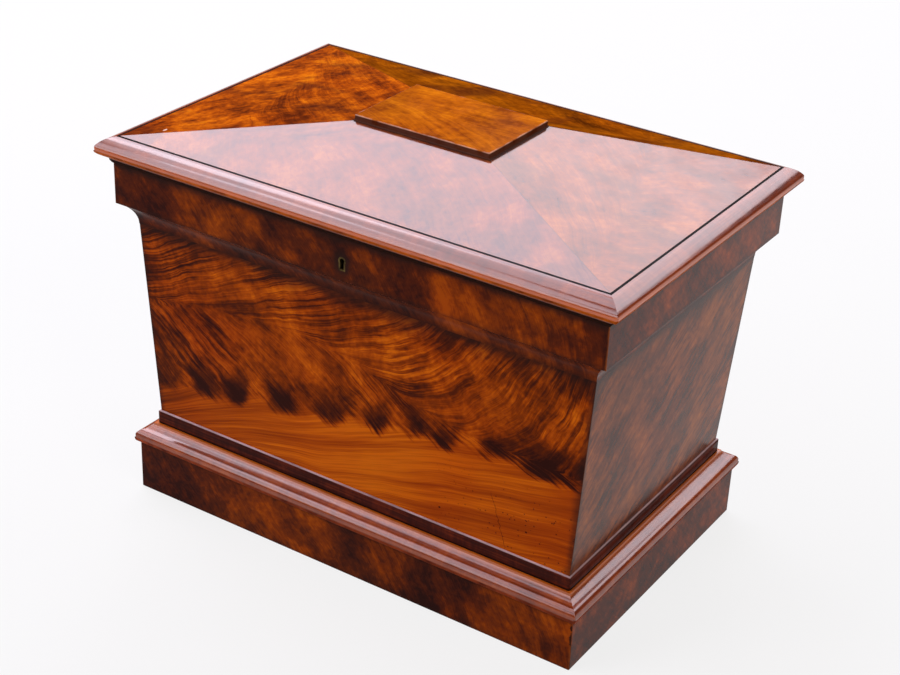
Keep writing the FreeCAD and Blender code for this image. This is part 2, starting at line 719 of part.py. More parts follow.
def lock_parts():
    y = lock_middle_y()
    front, back = y - LOCK_THICK / 2, y + LOCK_THICK / 2
    top = selvedge_floor()
    low = top - LOCK_DEPTH
    half = LOCK_LENGTH / 2
    hollow = box((LOCK_WALL - half, front + LOCK_PLATE, low + LOCK_WALL), (half - LOCK_WALL, back, top))
    cap_bed = box((-half, back - LOCK_PLATE, low), (half, back, top))
    slot_size = (LINK_THICK + LINK_SLOT_GAP, LINK_WIDTH + 2 * LINK_SLOT_GAP, 3 * SELVEDGE_THICK)
    slots = [centred_box((x, y, JOINT), slot_size) for x in link_middles()]
    case = lock_body().cut([hollow, cap_bed]).fuse(selvedge_block())

    # two steps on the front plate that the bolt slides along
    step_top = bolt_floor() - BOLT_GAP
    step_length = LOCK_LENGTH / 5
    steps = [box((LOCK_WALL - half, front + LOCK_PLATE, low + LOCK_WALL),
                 (LOCK_WALL - half + step_length, back - LOCK_PLATE, step_top)),
             box((half - LOCK_WALL - step_length, front + LOCK_PLATE, low + LOCK_WALL),
                 (half - LOCK_WALL, back - LOCK_PLATE, step_top))]
    reach = (SELVEDGE_LENGTH + LOCK_LENGTH) / 4
    holes = [screw_hole(x, y, -1, SELVEDGE_THICK, LOCK_SCREW_HEAD_RADIUS, LOCK_SCREW_RADIUS)
             for x in (-reach, reach)]
    case = case.fuse(steps).cut(slots + [keyhole_cutter()] + holes).removeSplitter()
    parts = {"lock_case": case, "lock_cap": cap_bed}
    parts["lock_bolt"] = lock_bolt(front + LOCK_PLATE, back - LOCK_PLATE)
    parts["lock_link_plate"] = link_plate().cut(link_plate_holes())
    parts["keyhole_escutcheon"] = escutcheon()
    return parts


def lock_bolt(front, back):
    """A bar with two prongs, drawn unlocked. It slides along +X to lock."""
    y = (front + back) / 2
    low = bolt_floor()
    bar_top = low + BOLT_HEIGHT
    tips = [x - LINK_THICK / 2 - PRONG_GAP for x in link_middles()]
    root = 2 * BOLT_TRAVEL
    eye_middle = JOINT - LINK_DROP + LINK_FOOT + LINK_EYE_HEIGHT / 2
    prong_top = eye_middle + PRONG_HEIGHT / 2
    first = tips[0] - root
    bar = box((first, front + BOLT_GAP, low), (tips[1], back - BOLT_GAP, bar_top))
    pieces = []
    for tip in tips:
        neck = tip - root + BOLT_TRAVEL - PRONG_GAP
        pieces.append(box((tip - root, y - PRONG_THICK / 2, low), (neck, y + PRONG_THICK / 2, prong_top)))
        pieces.append(box((tip - root, y - PRONG_THICK / 2, prong_top - PRONG_HEIGHT),
                          (tip, y + PRONG_THICK / 2, prong_top)))
    talon = Part.makeCylinder(TALON_RADIUS, 2 * LOCK_THICK, Vec(0, y - LOCK_THICK, low), Vec(0, 1, 0))
    return bar.fuse(pieces).cut(talon).removeSplitter()


# ---- all of it ------------------------------------------------------------------------------------

def build():
    parts = {}
    for group in (plinth_parts, carcass_parts, frieze_parts, liner_parts,
                  lid_parts, hinge_parts, lock_parts):
        parts.update(group())
    return parts


os.makedirs("parts", exist_ok=True)
for node, shape in build().items():
    shape.exportStep(os.path.join("parts", node + ".step"))
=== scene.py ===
import math

import bmesh
import bpy
from mathutils import Euler, Matrix, Vector


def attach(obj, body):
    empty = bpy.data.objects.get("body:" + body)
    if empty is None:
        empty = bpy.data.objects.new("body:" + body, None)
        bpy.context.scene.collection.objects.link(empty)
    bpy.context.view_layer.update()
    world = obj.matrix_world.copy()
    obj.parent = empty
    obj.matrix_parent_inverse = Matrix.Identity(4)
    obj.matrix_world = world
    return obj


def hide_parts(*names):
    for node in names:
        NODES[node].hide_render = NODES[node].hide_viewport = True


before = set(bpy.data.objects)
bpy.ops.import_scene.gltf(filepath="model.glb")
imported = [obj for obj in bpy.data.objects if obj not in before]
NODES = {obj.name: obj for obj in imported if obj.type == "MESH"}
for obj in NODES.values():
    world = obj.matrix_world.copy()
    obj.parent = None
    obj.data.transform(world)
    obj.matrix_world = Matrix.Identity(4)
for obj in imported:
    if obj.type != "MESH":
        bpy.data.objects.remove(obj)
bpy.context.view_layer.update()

SIDES = ("front", "right", "back", "left")
LONG_SIDES = ("front", "back")
SEEN_SIDES = ("front", "right")         # that the camera faces

# heights that the finishes, the marks and the screws are set out from, in metres
PLINTH_RISE = 0.072         # of the plinth's rails
BODY_FLOOR = 0.0986         # foot of the body
BODY_RISE = 0.2914          # of the body's veneer
COVE_FLOOR = 0.390
COVE_RISE = 0.0298
FRIEZE_FLOOR = 0.4198
FRIEZE_RISE = 0.0542
KEYHOLE_RISE = 0.0215       # middle of the keyhole above the frieze's lower edge
RIM_FLOOR = 0.469
JOINT = 0.474               # where the lid meets the case
TABLET_FOOT = 0.536         # lowest part of the tablet's sides that shows
TABLET_EDGE = 0.5535        # where its rounded edge begins

# the body, in metres
BODY_FOOT = {"front": 0.3151, "back": 0.3151, "right": 0.1936, "left": 0.1936}      # half widths there
BATTER = {"front": 0.0614, "back": 0.0614, "right": 0.0323, "left": 0.0323}         # gained per metre up


# ---- colours and nodes ----------------------------------------------------------------------------

def linear(colour):
    """An sRGB hex colour as linear values with alpha."""
    parts = [int(colour[i:i + 2], 16) / 255 for i in (1, 3, 5)]
    return tuple(c / 12.92 if c <= 0.04045 else ((c + 0.055) / 1.055) ** 2.4 for c in parts) + (1.0,)


def add(tree, kind, inputs=None, out=0, stops=(), curve=(), **settings):
    """Adds a node and gives back one of its outputs. inputs: a value or an output for each socket.
    stops: places and colours of a ramp. curve: the points of a float curve."""
    node = tree.nodes.new("ShaderNode" + kind)
    for name, value in settings.items():
        setattr(node, name, value)
    for socket, value in (inputs or {}).items():
        if isinstance(value, bpy.types.NodeSocket):
            tree.links.new(value, node.inputs[socket])
        else:
            node.inputs[socket].default_value = value
    for number, (place, colour) in enumerate(stops):
        element = node.color_ramp.elements[number] if number < 2 else node.color_ramp.elements.new(place)
        element.position = place
        element.color = linear(colour)
    if curve:
        line = node.mapping.curves[0]
        for number, point in enumerate(curve):
            spot = line.points[number] if number < 2 else line.points.new(*point)
            spot.location = point
        node.mapping.update()
    return node.outputs[out] if node.outputs else node


def new_material(name):
    material = bpy.data.materials.new(name)
    material.use_nodes = True
    material.node_tree.nodes.clear()
    return material, material.node_tree


def dress(material, *names):
    """Gives CAD pieces their finish."""
    for name in names:
        NODES[name].data.materials.clear()
        NODES[name].data.materials.append(material)


# ---- mahogany -------------------------------------------------------------------------------------
# Cuban mahogany veneer, saw-cut from the crotch where a branch joins the trunk: dark plumes and fine
# barbs leave a spine like the barbs of a feather. French polished: shellac rubbed on in thin coats,
# which darkens the wood to orange and red-brown and leaves a soft gloss with the fibres under it.

# turns that lay each upright face, or each slope of the lid seen from above, into run and rise
UPRIGHT = {"front": (-90, 0, 0), "right": (-90, -90, 0), "back": (-90, 180, 0), "left": (-90, 90, 0)}
LEVEL = {"front": (0, 0, 0), "right": (0, 0, -90), "back": (0, 0, 180), "left": (0, 0, 90)}


def laid_out(tree, turn, corner):
    """Object coordinates as metres along a face and up it, from its lower corner. The third number
    of corner only sets the leaf of veneer apart from the others."""
    place = add(tree, "TexCoord", out="Object")
    return add(tree, "Mapping", {"Vector": place, "Location": corner,
                                 "Rotation": [math.radians(t) for t in turn]})


def crotch_figure(tree, place, spine, over, under, edge=(), tufts=(), shade=(), barbed=0.30):
    """The figure of one leaf of crotch veneer: its darkness, from 0 to 1, and its fibres.
    spine: height of the feather's spine against the run. over and under: how far the barbs lean
    above and below it. edge: the feather's lower edge, under which the grain is plain; a leaf
    without one is feathered all over. tufts: how dark the barbs' tips are, against the run.
    shade: what the run adds to the darkness. barbed: how strongly the barbs show."""
    # slow swirls of 220 mm and bends of 45 mm and 13 mm pull the grain about
    bent = place
    swirled = None
    for size, pull in ((220, 0.040), (45, 0.011), (13, 0.0016)):
        drift = add(tree, "TexNoise", {"Vector": place, "Scale": 1000 / size, "Detail": 2.0}, out="Color")
        drift = add(tree, "VectorMath", {0: drift, 1: (0.5, 0.5, 0.5)}, operation="SUBTRACT")
        bent = add(tree, "VectorMath", {0: drift, 1: (pull, pull, 0.0), 2: bent}, operation="MULTIPLY_ADD")
        swirled = swirled or bent
    run = add(tree, "SeparateXYZ", {0: bent})
    rise = run.node.outputs[1]

    # barbs leave the spine at a low angle and curve away from it
    axis = add(tree, "FloatCurve", {"Value": run}, curve=spine)
    gap = add(tree, "Math", {0: rise, 1: axis}, operation="SUBTRACT")
    span = add(tree, "Math", {0: gap}, operation="ABSOLUTE")
    above = add(tree, "MapRange", {"Value": gap, "From Min": -0.006, "From Max": 0.006})
    lean_over = add(tree, "FloatCurve", {"Value": run}, curve=over)
    lean_under = add(tree, "FloatCurve", {"Value": run}, curve=under)
    lean = add(tree, "Mix", {0: above, 2: lean_under, 3: lean_over})
    bow = add(tree, "Math", {0: span, 1: 0.78}, operation="POWER")
    slide = add(tree, "Math", {0: lean, 1: 2.4}, operation="MULTIPLY")
    slide = add(tree, "Math", {0: slide, 1: bow}, operation="MULTIPLY")
    barb = add(tree, "Math", {0: run, 1: slide}, operation="SUBTRACT")
    side = add(tree, "SeparateXYZ", {0: place}, out="Z")
    side = add(tree, "Math", {0: above, 1: 0.4, 2: side}, operation="MULTIPLY_ADD")
    feather = add(tree, "CombineXYZ", {0: barb, 1: span, 2: side})

    # plumes 46 mm wide, barbs of 10 mm, streaks of 4 mm, and fibres drawn 1.8 mm apart, four times
    # their real width, so that they show; curls of 8 mm and clouds of 46 mm lie across them, and the
    # barbs fade out in calm patches of 120 mm
    layers = {}
    rough = {"Detail": 3.0, "Roughness": 0.6}
    strokes = (("plume", 46, 110), ("barb", 10, 64), ("streak", 4.0, 34), ("fibre", 1.8, 18))
    for name, width, length in strokes:
        spread = add(tree, "Mapping", {"Vector": feather, "Scale": (1000 / width, 1000 / length, 1.0)})
        layers[name] = add(tree, "TexNoise", {"Vector": spread, "Scale": 1.0, **rough})
    for name, size in (("cloud", 46), ("curl", 8), ("calm", 120)):
        layers[name] = add(tree, "TexNoise", {"Vector": bent, "Scale": 1000 / size, **rough})
    barbs = add(tree, "MapRange", {"Value": layers["barb"], "From Min": 0.42, "From Max": 0.64,
                                   "To Min": -0.4, "To Max": 0.6}, interpolation_type="SMOOTHSTEP")
    clear = add(tree, "MapRange", {"Value": layers["calm"], "From Min": 0.40, "From Max": 0.56,
                                   "To Min": 0.25 * barbed, "To Max": barbed * 1.25})
    shares = (("plume", 1.0), ("cloud", 1.35 - 0.8 * barbed), ("streak", 0.2 + 0.7 * barbed), ("fibre", 0.42),
              ("curl", 0.80 - 0.9 * barbed))
    tone = add(tree, "Math", {0: barbs, 1: clear, 2: 0.45 - 0.5 * sum(share for _, share in shares)},
               operation="MULTIPLY_ADD")
    for name, share in shares:
        tone = add(tree, "Math", {0: layers[name], 1: share, 2: tone}, operation="MULTIPLY_ADD")
    if shade:
        tone = add(tree, "Math", {0: tone, 1: add(tree, "FloatCurve", {"Value": run}, curve=shade)})
    if not edge:
        tone = add(tree, "Math", {0: tone, 1: 0.0}, use_clamp=True)
        return tone, layers["fibre"]

    # the tips of the barbs gather in dark, rounded tufts that hang over the plain grain
    low = add(tree, "FloatCurve", {"Value": run}, curve=edge)
    tuft = add(tree, "FloatCurve", {"Value": run}, curve=tufts)
    lift = add(tree, "Math", {0: rise, 1: low}, operation="SUBTRACT")
    for layer, share in ((layers["plume"], 0.034), (barbs, 0.006), (tuft, 0.014)):
        lift = add(tree, "Math", {0: layer, 1: share, 2: lift}, operation="MULTIPLY_ADD")
    flamed = add(tree, "MapRange", {"Value": lift, "From Min": 0.014, "From Max": 0.034},
                 interpolation_type="SMOOTHSTEP")
    hang = add(tree, "MapRange", {"Value": lift, "From Min": 0.036, "From Max": 0.080,
                                  "To Min": 0.78, "To Max": 0.0},
               interpolation_type="SMOOTHSTEP")
    tone = add(tree, "Math", {0: hang, 1: tuft, 2: tone}, operation="MULTIPLY_ADD")
    tone = add(tree, "Math", {0: hang, 1: -0.26, 2: tone}, operation="MULTIPLY_ADD")

    # under the feather the grain fans out from beyond the left foot of the face: bands about 20 mm
    # apart in the middle of it, and lines of 6 mm and 2 mm
    out = add(tree, "VectorMath", {0: swirled, 1: (0.26, 0.10, 0.0)}, operation="ADD")
    along = add(tree, "VectorMath", {0: out}, operation="LENGTH", out="Value")
    out = add(tree, "SeparateXYZ", {0: out})
    round_it = add(tree, "Math", {0: out.node.outputs[1], 1: out}, operation="ARCTAN2")
    plain = 0.0
    for angle, length, share in ((0.034, 0.40, 0.70), (0.010, 0.22, 0.45), (0.0030, 0.10, 0.42)):
        spread = add(tree, "CombineXYZ", {0: along, 1: round_it, 2: side})
        spread = add(tree, "Mapping", {"Vector": spread, "Scale": (1 / length, 1 / angle, 1.0)})
        band = add(tree, "TexNoise", {"Vector": spread, "Scale": 1.0, "Detail": 4.0, "Roughness": 0.6})
        plain = add(tree, "Math", {0: band, 1: share, 2: plain}, operation="MULTIPLY_ADD")
    plain = add(tree, "MapRange", {"Value": plain, "From Min": 0.56, "From Max": 1.02,
                                   "To Min": -0.10, "To Max": 0.50})
    plain = add(tree, "Math", {0: plain, 1: add(tree, "FloatCurve", {"Value": run}, curve=shade)})
    # it is browner towards the left foot
    brown = add(tree, "MapRange", {"Value": along, "From Min": 0.30, "From Max": 0.62,
                                   "To Min": 0.20, "To Max": 0.02})
    plain = add(tree, "Math", {0: plain, 1: brown})
    tone = add(tree, "Mix", {0: flamed, 2: plain, 3: tone}, clamp_factor=True)
    tone = add(tree, "Math", {0: tone, 1: 0.0}, use_clamp=True)
    return tone, layers["fibre"]


def edge_gap(tree, place, reach, half, height, batter=0.0):
    """Distances in metres from a point of a face to the nearer of its ends, and to the nearer of its
    top and foot. reach: the run at its middle. half: half its width at the foot. batter: what each
    metre up adds to that."""
    run = add(tree, "SeparateXYZ", {0: place})
    rise = run.node.outputs[1]
    across = add(tree, "Math", {0: run, 1: reach}, operation="SUBTRACT")
    across = add(tree, "Math", {0: across}, operation="ABSOLUTE")
    end = add(tree, "Math", {0: rise, 1: batter, 2: half}, operation="MULTIPLY_ADD")
    end = add(tree, "Math", {0: end, 1: across}, operation="SUBTRACT")
    top = add(tree, "Math", {0: height, 1: rise}, operation="SUBTRACT")
    level = add(tree, "Math", {0: top, 1: rise}, operation="MINIMUM")
    return end, level


def wear_and_highlight(tree, place, colour, gap, bare_and_highlight, depth=0.0028):
    """Lightens the last few millimetres before an edge, in patches: wear from dusters, and on the tablet a
    painted highlight.
    """
    patch = add(tree, "TexNoise", {"Vector": place, "Scale": 45.0, "Detail": 4.0})
    wide = add(tree, "MapRange", {"Value": patch, "From Min": 0.38, "From Max": 0.70,
                                  "To Min": depth * 0.3, "To Max": depth})
    worn = add(tree, "MapRange", {"Value": gap, "From Min": 0.0, "From Max": wide,
                                  "To Min": 0.75, "To Max": 0.0})
    return add(tree, "Mix", {0: worn, 6: colour, 7: linear(bare_and_highlight)}, out=2, data_type="RGBA")


def grime_and_shade(tree, place, colour, gap, width, strength=0.65):
    """Darkens towards an edge, in clouds: painted shade where parts meet, overhang and hollow, and real dirt
    and glue round the keyhole and along the mitres.
    """
    cloud = add(tree, "TexNoise", {"Vector": place, "Scale": 30.0, "Detail": 3.0})
    wide = add(tree, "MapRange", {"Value": cloud, "From Min": 0.3, "From Max": 0.7,
                                  "To Min": width * 0.5, "To Max": width * 1.5})
    dirt_and_shade = add(tree, "MapRange", {"Value": gap, "From Min": 0.0, "From Max": wide,
                                  "To Min": strength, "To Max": 0.0},
               interpolation_type="SMOOTHSTEP")
    return add(tree, "Mix", {0: dirt_and_shade, 6: colour, 7: linear("#2A1712")}, out=2, data_type="RGBA")


def mark(tree, place, colour, spots, stain):
    """Small worn or bruised spots: each is its place on the face and its half sizes, in metres."""
    ragged = add(tree, "TexNoise", {"Vector": place, "Scale": 700.0, "Detail": 2.0})
    for (run, rise), (wide, high) in spots:
        spot = add(tree, "VectorMath", {0: place, 1: (run, rise, 0.0)}, operation="SUBTRACT")
        spot = add(tree, "VectorMath", {0: spot, 1: (1 / wide, 1 / high, 0.0)}, operation="MULTIPLY")
        far = add(tree, "VectorMath", {0: spot}, operation="LENGTH", out="Value")
        far = add(tree, "Math", {0: ragged, 1: 0.9, 2: far}, operation="MULTIPLY_ADD")
        inside = add(tree, "MapRange", {"Value": far, "From Min": 1.2, "From Max": 1.5,
                                        "To Min": 0.9, "To Max": 0.0})
        colour = add(tree, "Mix", {0: inside, 6: colour, 7: linear(stain)}, out=2, data_type="RGBA")
    return colour


def french_polish(tree, place, colour, fibre, sheen, gloss=0.15, relief=0.00003, waxed=0.0):
    """The polish over the wood. sheen: how strongly its film reflects, 0.5 as glass does. gloss: its
    roughness where it is cleanest; smears and old wax dull the rest. The fibres stand up through it
    by a few hundredths of a millimetre, and the glued veneer waves a little every 60 mm. waxed: how
    far old wax has made it matt."""
    smear = add(tree, "TexNoise", {"Vector": place, "Scale": 1000 / 35, "Detail": 5.0, "Roughness": 0.65})
    dull = add(tree, "MapRange", {"Value": smear, "From Min": 0.35, "From Max": 0.70,
                                  "To Min": gloss, "To Max": gloss + 0.08})
    dull = add(tree, "Mix", {0: waxed, 2: dull, 3: 0.9})
    wave = add(tree, "TexNoise", {"Vector": place, "Scale": 1000 / 60, "Detail": 1.0})
    swell = add(tree, "Bump", {"Height": wave, "Strength": 0.6, "Distance": 0.00025}, out="Normal")
    grain = add(tree, "Bump", {"Height": fibre, "Strength": 0.5, "Distance": relief,
                               "Normal": swell}, out="Normal")
    shader = add(tree, "BsdfPrincipled", {"Base Color": colour, "Roughness": dull, "IOR": 1.5,
                                          "Specular IOR Level": sheen, "Normal": grain})
    add(tree, "OutputMaterial", {"Surface": shader})


def flame_tones(tree, place, tone, tones, calm=1.0, middle=0.42):
    """Colours of the figure, with patches that have kept more red. calm: how much of the figure's
    contrast is left."""
    if calm < 1.0:
        tone = add(tree, "Math", {0: tone, 1: calm, 2: middle * (1 - calm)}, operation="MULTIPLY_ADD")
    colour = add(tree, "ValToRGB", {"Fac": tone}, stops=tones)
    warmth = add(tree, "TexNoise", {"Vector": place, "Scale": 1000 / 140, "Detail": 3.0})
    warmth = add(tree, "MapRange", {"Value": warmth, "From Min": 0.38, "From Max": 0.68,
                                    "To Min": 0.0, "To Max": 0.35})
    return add(tree, "Mix", {0: warmth, 6: colour, 7: linear("#D89084")}, out=2, data_type="RGBA",
               blend_type="MULTIPLY")


BODY_TONES = [(0.0, "#D2690A"), (0.22, "#AC4A06"), (0.42, "#853504"), (0.62, "#5A2206"), (0.85, "#3C160B"),
              (1.0, "#30110A")]
END_TONES = [(0.0, "#BE6E1C"), (0.22, "#9A5014"), (0.42, "#763810"), (0.62, "#50240C"), (1.0, "#2C140A")]
LID_TONES = [(0.0, "#DC7E0C"), (0.24, "#BE5E08"), (0.45, "#964206"), (0.70, "#622606"), (1.0, "#361404")]
# palette of the front and right slopes: painted light, its darks tinted lavender as a painted reflection
SHEEN_TINTED_TONES = [(0.0, "#DC8628"), (0.24, "#BA661A"), (0.45, "#944616"), (0.70, "#5C2818"), (1.0, "#38181C")]
BACK_TONES = [(0.0, "#C8720A"), (0.24, "#A25707"), (0.45, "#7E4005"), (0.70, "#502504"), (1.0, "#2A1102")]
DARK_TONES = [(0.0, "#BE5A08"), (0.30, "#8A3B08"), (0.55, "#5A240C"), (0.80, "#38160E"), (1.0, "#220D0B")]
EDGE_TONES = [(0.0, "#B85A1C"), (0.5, "#8A3A12"), (1.0, "#4E1C0A")]
LID_EDGE_TONES = [(0.0, "#B0501A"), (0.5, "#7A2E10"), (1.0, "#3E160A")]
CAP_TONES = [(0.0, "#B85A18"), (0.5, "#8A3810"), (1.0, "#4A180A")]
BAND_TONES = [(0.0, "#7A2C10"), (0.5, "#40150C"), (1.0, "#1E0A07")]

# body: one feather from left to right, its tips dark and its plain grain below
FRONT_FEATHER = {
    "spine": [(0.0, 0.190), (0.20, 0.212), (0.34, 0.208), (0.44, 0.176), (0.56, 0.162), (0.68, 0.152)],
    "over": [(0.0, 0.85), (0.30, 0.70), (0.45, 0.45), (0.68, 0.10)],
    "under": [(0.0, 0.26), (0.15, 0.30), (0.30, 0.38), (0.45, 0.48), (0.68, 0.52)],
    "edge": [(0.0, 0.066), (0.10, 0.078), (0.20, 0.095), (0.30, 0.115), (0.42, 0.132),
             (0.55, 0.145), (0.68, 0.152)],
    "tufts": [(0.0, 0.0), (0.050, 0.4), (0.075, 0.2), (0.100, 0.8), (0.125, 0.5), (0.154, 1.0),
              (0.185, 0.15), (0.218, 1.0), (0.258, 0.15), (0.305, 0.9), (0.34, 0.2), (0.378, 0.85),
              (0.41, 0.25), (0.438, 0.8), (0.458, 0.45), (0.482, 0.9), (0.515, 0.15), (0.545, 0.8),
              (0.573, 0.4), (0.610, 0.95), (0.645, 0.9), (0.68, 0.3)],
    "shade": [(0.0, 0.12), (0.05, 0.07), (0.10, 0.0), (0.25, -0.03), (0.42, -0.08), (0.58, -0.05),
              (0.68, 0.02)],
    "barbed": 0.36}
SIDE_FEATHER = {"spine": [(0.0, 0.0), (0.42, 0.0)], "over": [(0.0, 0.26), (0.42, 0.42)],
                "under": [(0.0, 0.26), (0.42, 0.42)], "barbed": 0.24}
BODY_SHEEN = {"front": 0.025, "right": 0.11, "back": 0.08, "left": 0.10}


def season_crack(tree, place, colour):
    """A hairline crack that wanders down and to the right, and open pores beside it."""
    wander = add(tree, "TexNoise", {"Vector": place, "Scale": 160.0, "Detail": 3.0})
    run = add(tree, "SeparateXYZ", {0: place})
    rise = run.node.outputs[1]
    line = add(tree, "Math", {0: rise, 1: 0.319, 2: run}, operation="MULTIPLY_ADD")
    line = add(tree, "Math", {0: wander, 1: 0.008, 2: line}, operation="MULTIPLY_ADD")
    line = add(tree, "Math", {0: line, 1: 0.5773}, operation="SUBTRACT")
    line = add(tree, "Math", {0: line}, operation="ABSOLUTE")
    open_part = add(tree, "MapRange", {"Value": line, "From Min": 0.0003, "From Max": 0.0007,
                                       "To Min": 0.75, "To Max": 0.0})
    for start, stop in ((0.020, 0.026), (0.094, 0.086)):
        within = add(tree, "MapRange", {"Value": rise, "From Min": start, "From Max": stop})
        open_part = add(tree, "Math", {0: within, 1: open_part}, operation="MULTIPLY")
    spread = add(tree, "Mapping", {"Vector": place, "Scale": (1.0, 1.0, 0.0)})
    pores = add(tree, "TexVoronoi", {"Vector": spread, "Scale": 1000 / 8, "Randomness": 1.0}, out="Distance")
    pores = add(tree, "MapRange", {"Value": pores, "From Min": 0.09, "From Max": 0.165,
                                   "To Min": 0.75, "To Max": 0.0})
    right = add(tree, "MapRange", {"Value": run, "From Min": 0.43, "From Max": 0.54})
    low = add(tree, "MapRange", {"Value": rise, "From Min": 0.13, "From Max": 0.09})
    for part in (right, low):
        pores = add(tree, "Math", {0: pores, 1: part}, operation="MULTIPLY")
    open_part = add(tree, "Math", {0: open_part, 1: pores}, operation="MAXIMUM")
    return add(tree, "Mix", {0: open_part, 6: colour, 7: linear("#2A0F06")}, out=2, data_type="RGBA")


# each is its place on the front, from its left foot, and its half sizes
WORM_HOLES = [((0.594, 0.056), (0.0016, 0.0014)), ((0.471, 0.0425), (0.0016, 0.0016)),
              ((0.561, 0.071), (0.0010, 0.0010)), ((0.628, 0.083), (0.0010, 0.0012)),
              ((0.640, 0.031), (0.0012, 0.0010)), ((0.520, 0.018), (0.0010, 0.0010))]

for number, side in enumerate(SIDES):
    wide = side in LONG_SIDES
    reach = 0.34 if wide else 0.21
    material, tree = new_material("Flame mahogany body " + side)
    place = laid_out(tree, UPRIGHT[side], (reach, -BODY_FLOOR, 3.1 * number))
    tone, fibre = crotch_figure(tree, place, **(FRONT_FEATHER if wide else SIDE_FEATHER))
    colour = flame_tones(tree, place, tone, BODY_TONES if wide else END_TONES, 1.0 if wide else 0.72)
    end, level = edge_gap(tree, place, reach, BODY_FOOT[side], BODY_RISE, BATTER[side])
    near = add(tree, "Math", {0: end, 1: level}, operation="MINIMUM")
    # painted shade along the ends, the top and the foot, where the body turns its corners and meets the
    # mouldings
    colour = grime_and_shade(tree, place, colour, near, 0.012)
    # painted shade under the cove, over about the top 30 mm
    height = add(tree, "SeparateXYZ", {0: place}, out="Y")
    top = add(tree, "Math", {0: BODY_RISE, 1: height}, operation="SUBTRACT")
    colour = grime_and_shade(tree, place, colour, top, 0.030, 0.5)
    if side == "front":
        # a crack and worm holes near the right foot
        colour = season_crack(tree, place, colour)
        colour = mark(tree, place, colour, WORM_HOLES, "#1E0C05")
    else:
        # painted shade, darker towards the foot
        colour = grime_and_shade(tree, place, colour, height, 0.035, 0.55)
    french_polish(tree, place, colour, fibre, BODY_SHEEN[side])
    dress(material, side + "_veneer")

# lid: each slope is one leaf with a short feather that starts at the tablet
LID_FEATHER = {"spine": [(0.0, 0.02), (0.25, 0.10), (0.5, 0.16), (0.75, 0.12), (1.0, 0.03)],
               "over": [(0.0, 0.55), (0.5, 0.35), (1.0, 0.55)],
               "under": [(0.0, 0.10), (0.5, 0.30), (1.0, 0.45)],
               "barbed": 0.10}
# each slope's sheen, calm, middle, palette and smoke are set apart so that it looks as it does under this
# light: lit and shaded copies of one veneer, painted light
LID_SHEEN = {"front": 0.83, "right": 0.61, "back": 0.0, "left": 0.008}
LID_CALM = {"front": 0.42, "right": 0.46, "back": 0.60, "left": 0.95}
LID_MIDDLE = {"front": 0.56, "right": 0.55, "back": 0.36, "left": 0.42}
# half a slope's width at its foot, what each metre up adds to it, and how far up the tablet stands
LONG_SLOPE = (0.3521, -1.6647, 0.152)
SHORT_SLOPE = (0.2188, -0.6007, 0.2514)
for number, side in enumerate(SIDES):
    wide = side in LONG_SIDES
    reach = (0.35, 0.22) if wide else (0.22, 0.35)
    half, batter, tablet_foot = LONG_SLOPE if wide else SHORT_SLOPE
    material, tree = new_material("Flame mahogany lid " + side)
    place = laid_out(tree, LEVEL[side], (reach[0], reach[1], 20 + 2.3 * number))
    tone, fibre = crotch_figure(tree, place, **LID_FEATHER)
    # painted light: a palette chosen by slope
    tones = {"left": LID_TONES, "back": BACK_TONES}.get(side, SHEEN_TINTED_TONES)
    colour = flame_tones(tree, place, tone, tones, LID_CALM[side], LID_MIDDLE[side])
    # smoky blotches of 70 mm drawn out along the grain, fainter on the two slopes that the camera faces as
    # part of the painted light
    smoke = add(tree, "Mapping", {"Vector": place, "Rotation": (0.0, 0.0, 0.8), "Scale": (20.0, 9.0, 1.0)})
    smoke = add(tree, "TexNoise", {"Vector": smoke, "Scale": 1.0, "Detail": 3.0})
    smoke = add(tree, "MapRange", {"Value": smoke, "From Min": 0.48, "From Max": 0.68,
                                   "To Min": 0.0, "To Max": 0.38 if side in SEEN_SIDES else 0.60},
                interpolation_type="SMOOTHSTEP")
    colour = add(tree, "Mix", {0: smoke, 6: colour, 7: linear("#3A140C")}, out=2, data_type="RGBA")
    # painted shade round the foot of the tablet
    rise = add(tree, "SeparateXYZ", {0: place}, out="Y")
    foot = add(tree, "Math", {0: tablet_foot, 1: rise}, operation="SUBTRACT")
    colour = grime_and_shade(tree, place, colour, foot, 0.006, 0.8)
    # and a dark glue line along the mitres
    hip, _ = edge_gap(tree, place, reach[0], half, 1.0, batter)
    colour = grime_and_shade(tree, place, colour, hip, 0.0018 if wide else 0.0011, 0.6)
    if side == "right":
        # an old bruise, filled and polished over
        colour = mark(tree, place, colour, [((0.240, 0.0697), (0.0045, 0.0026))], "#8A3C1C")
    if side == "left":
        # a chip of polish, down to the pale ground
        colour = mark(tree, place, colour, [((0.398, 0.0438), (0.0040, 0.0018))], "#E8C8B4")
    french_polish(tree, place, colour, fibre, LID_SHEEN[side], 0.08, relief=0.000015)
    dress(material, "lid_slope_" + side)

TABLET_TONES = [(0.0, "#D8820F"), (0.30, "#B8640A"), (0.6, "#8A4208"), (1.0, "#451A07")]
# the colours of the tablet's sides: painted shade, darkest at their foot
TABLET_SIDES_IN_SHADE = [(0.0, "#100605"), (0.45, "#200A07"), (0.75, "#481808")]
material, tree = new_material("Flame mahogany tablet")
place = laid_out(tree, (0, 0, 0), (0.10, 0.0681, 33.0))
tone, fibre = crotch_figure(tree, place, [(0.0, 0.075), (0.2, 0.05)], [(0.0, 0.75), (0.2, 0.85)],
                            [(0.0, 0.95), (0.2, 0.75)], barbed=0.05)
colour = flame_tones(tree, place, tone, TABLET_TONES, 0.75, 0.38)
# half its length, and its depth, over the fillet
end, level = edge_gap(tree, place, 0.10, 0.0986, 0.1362)
near = add(tree, "Math", {0: end, 1: level}, operation="MINIMUM")
# a painted highlight along the rounded edge of the top
colour = wear_and_highlight(tree, place, colour, near, "#F2CDB8", 0.0034)
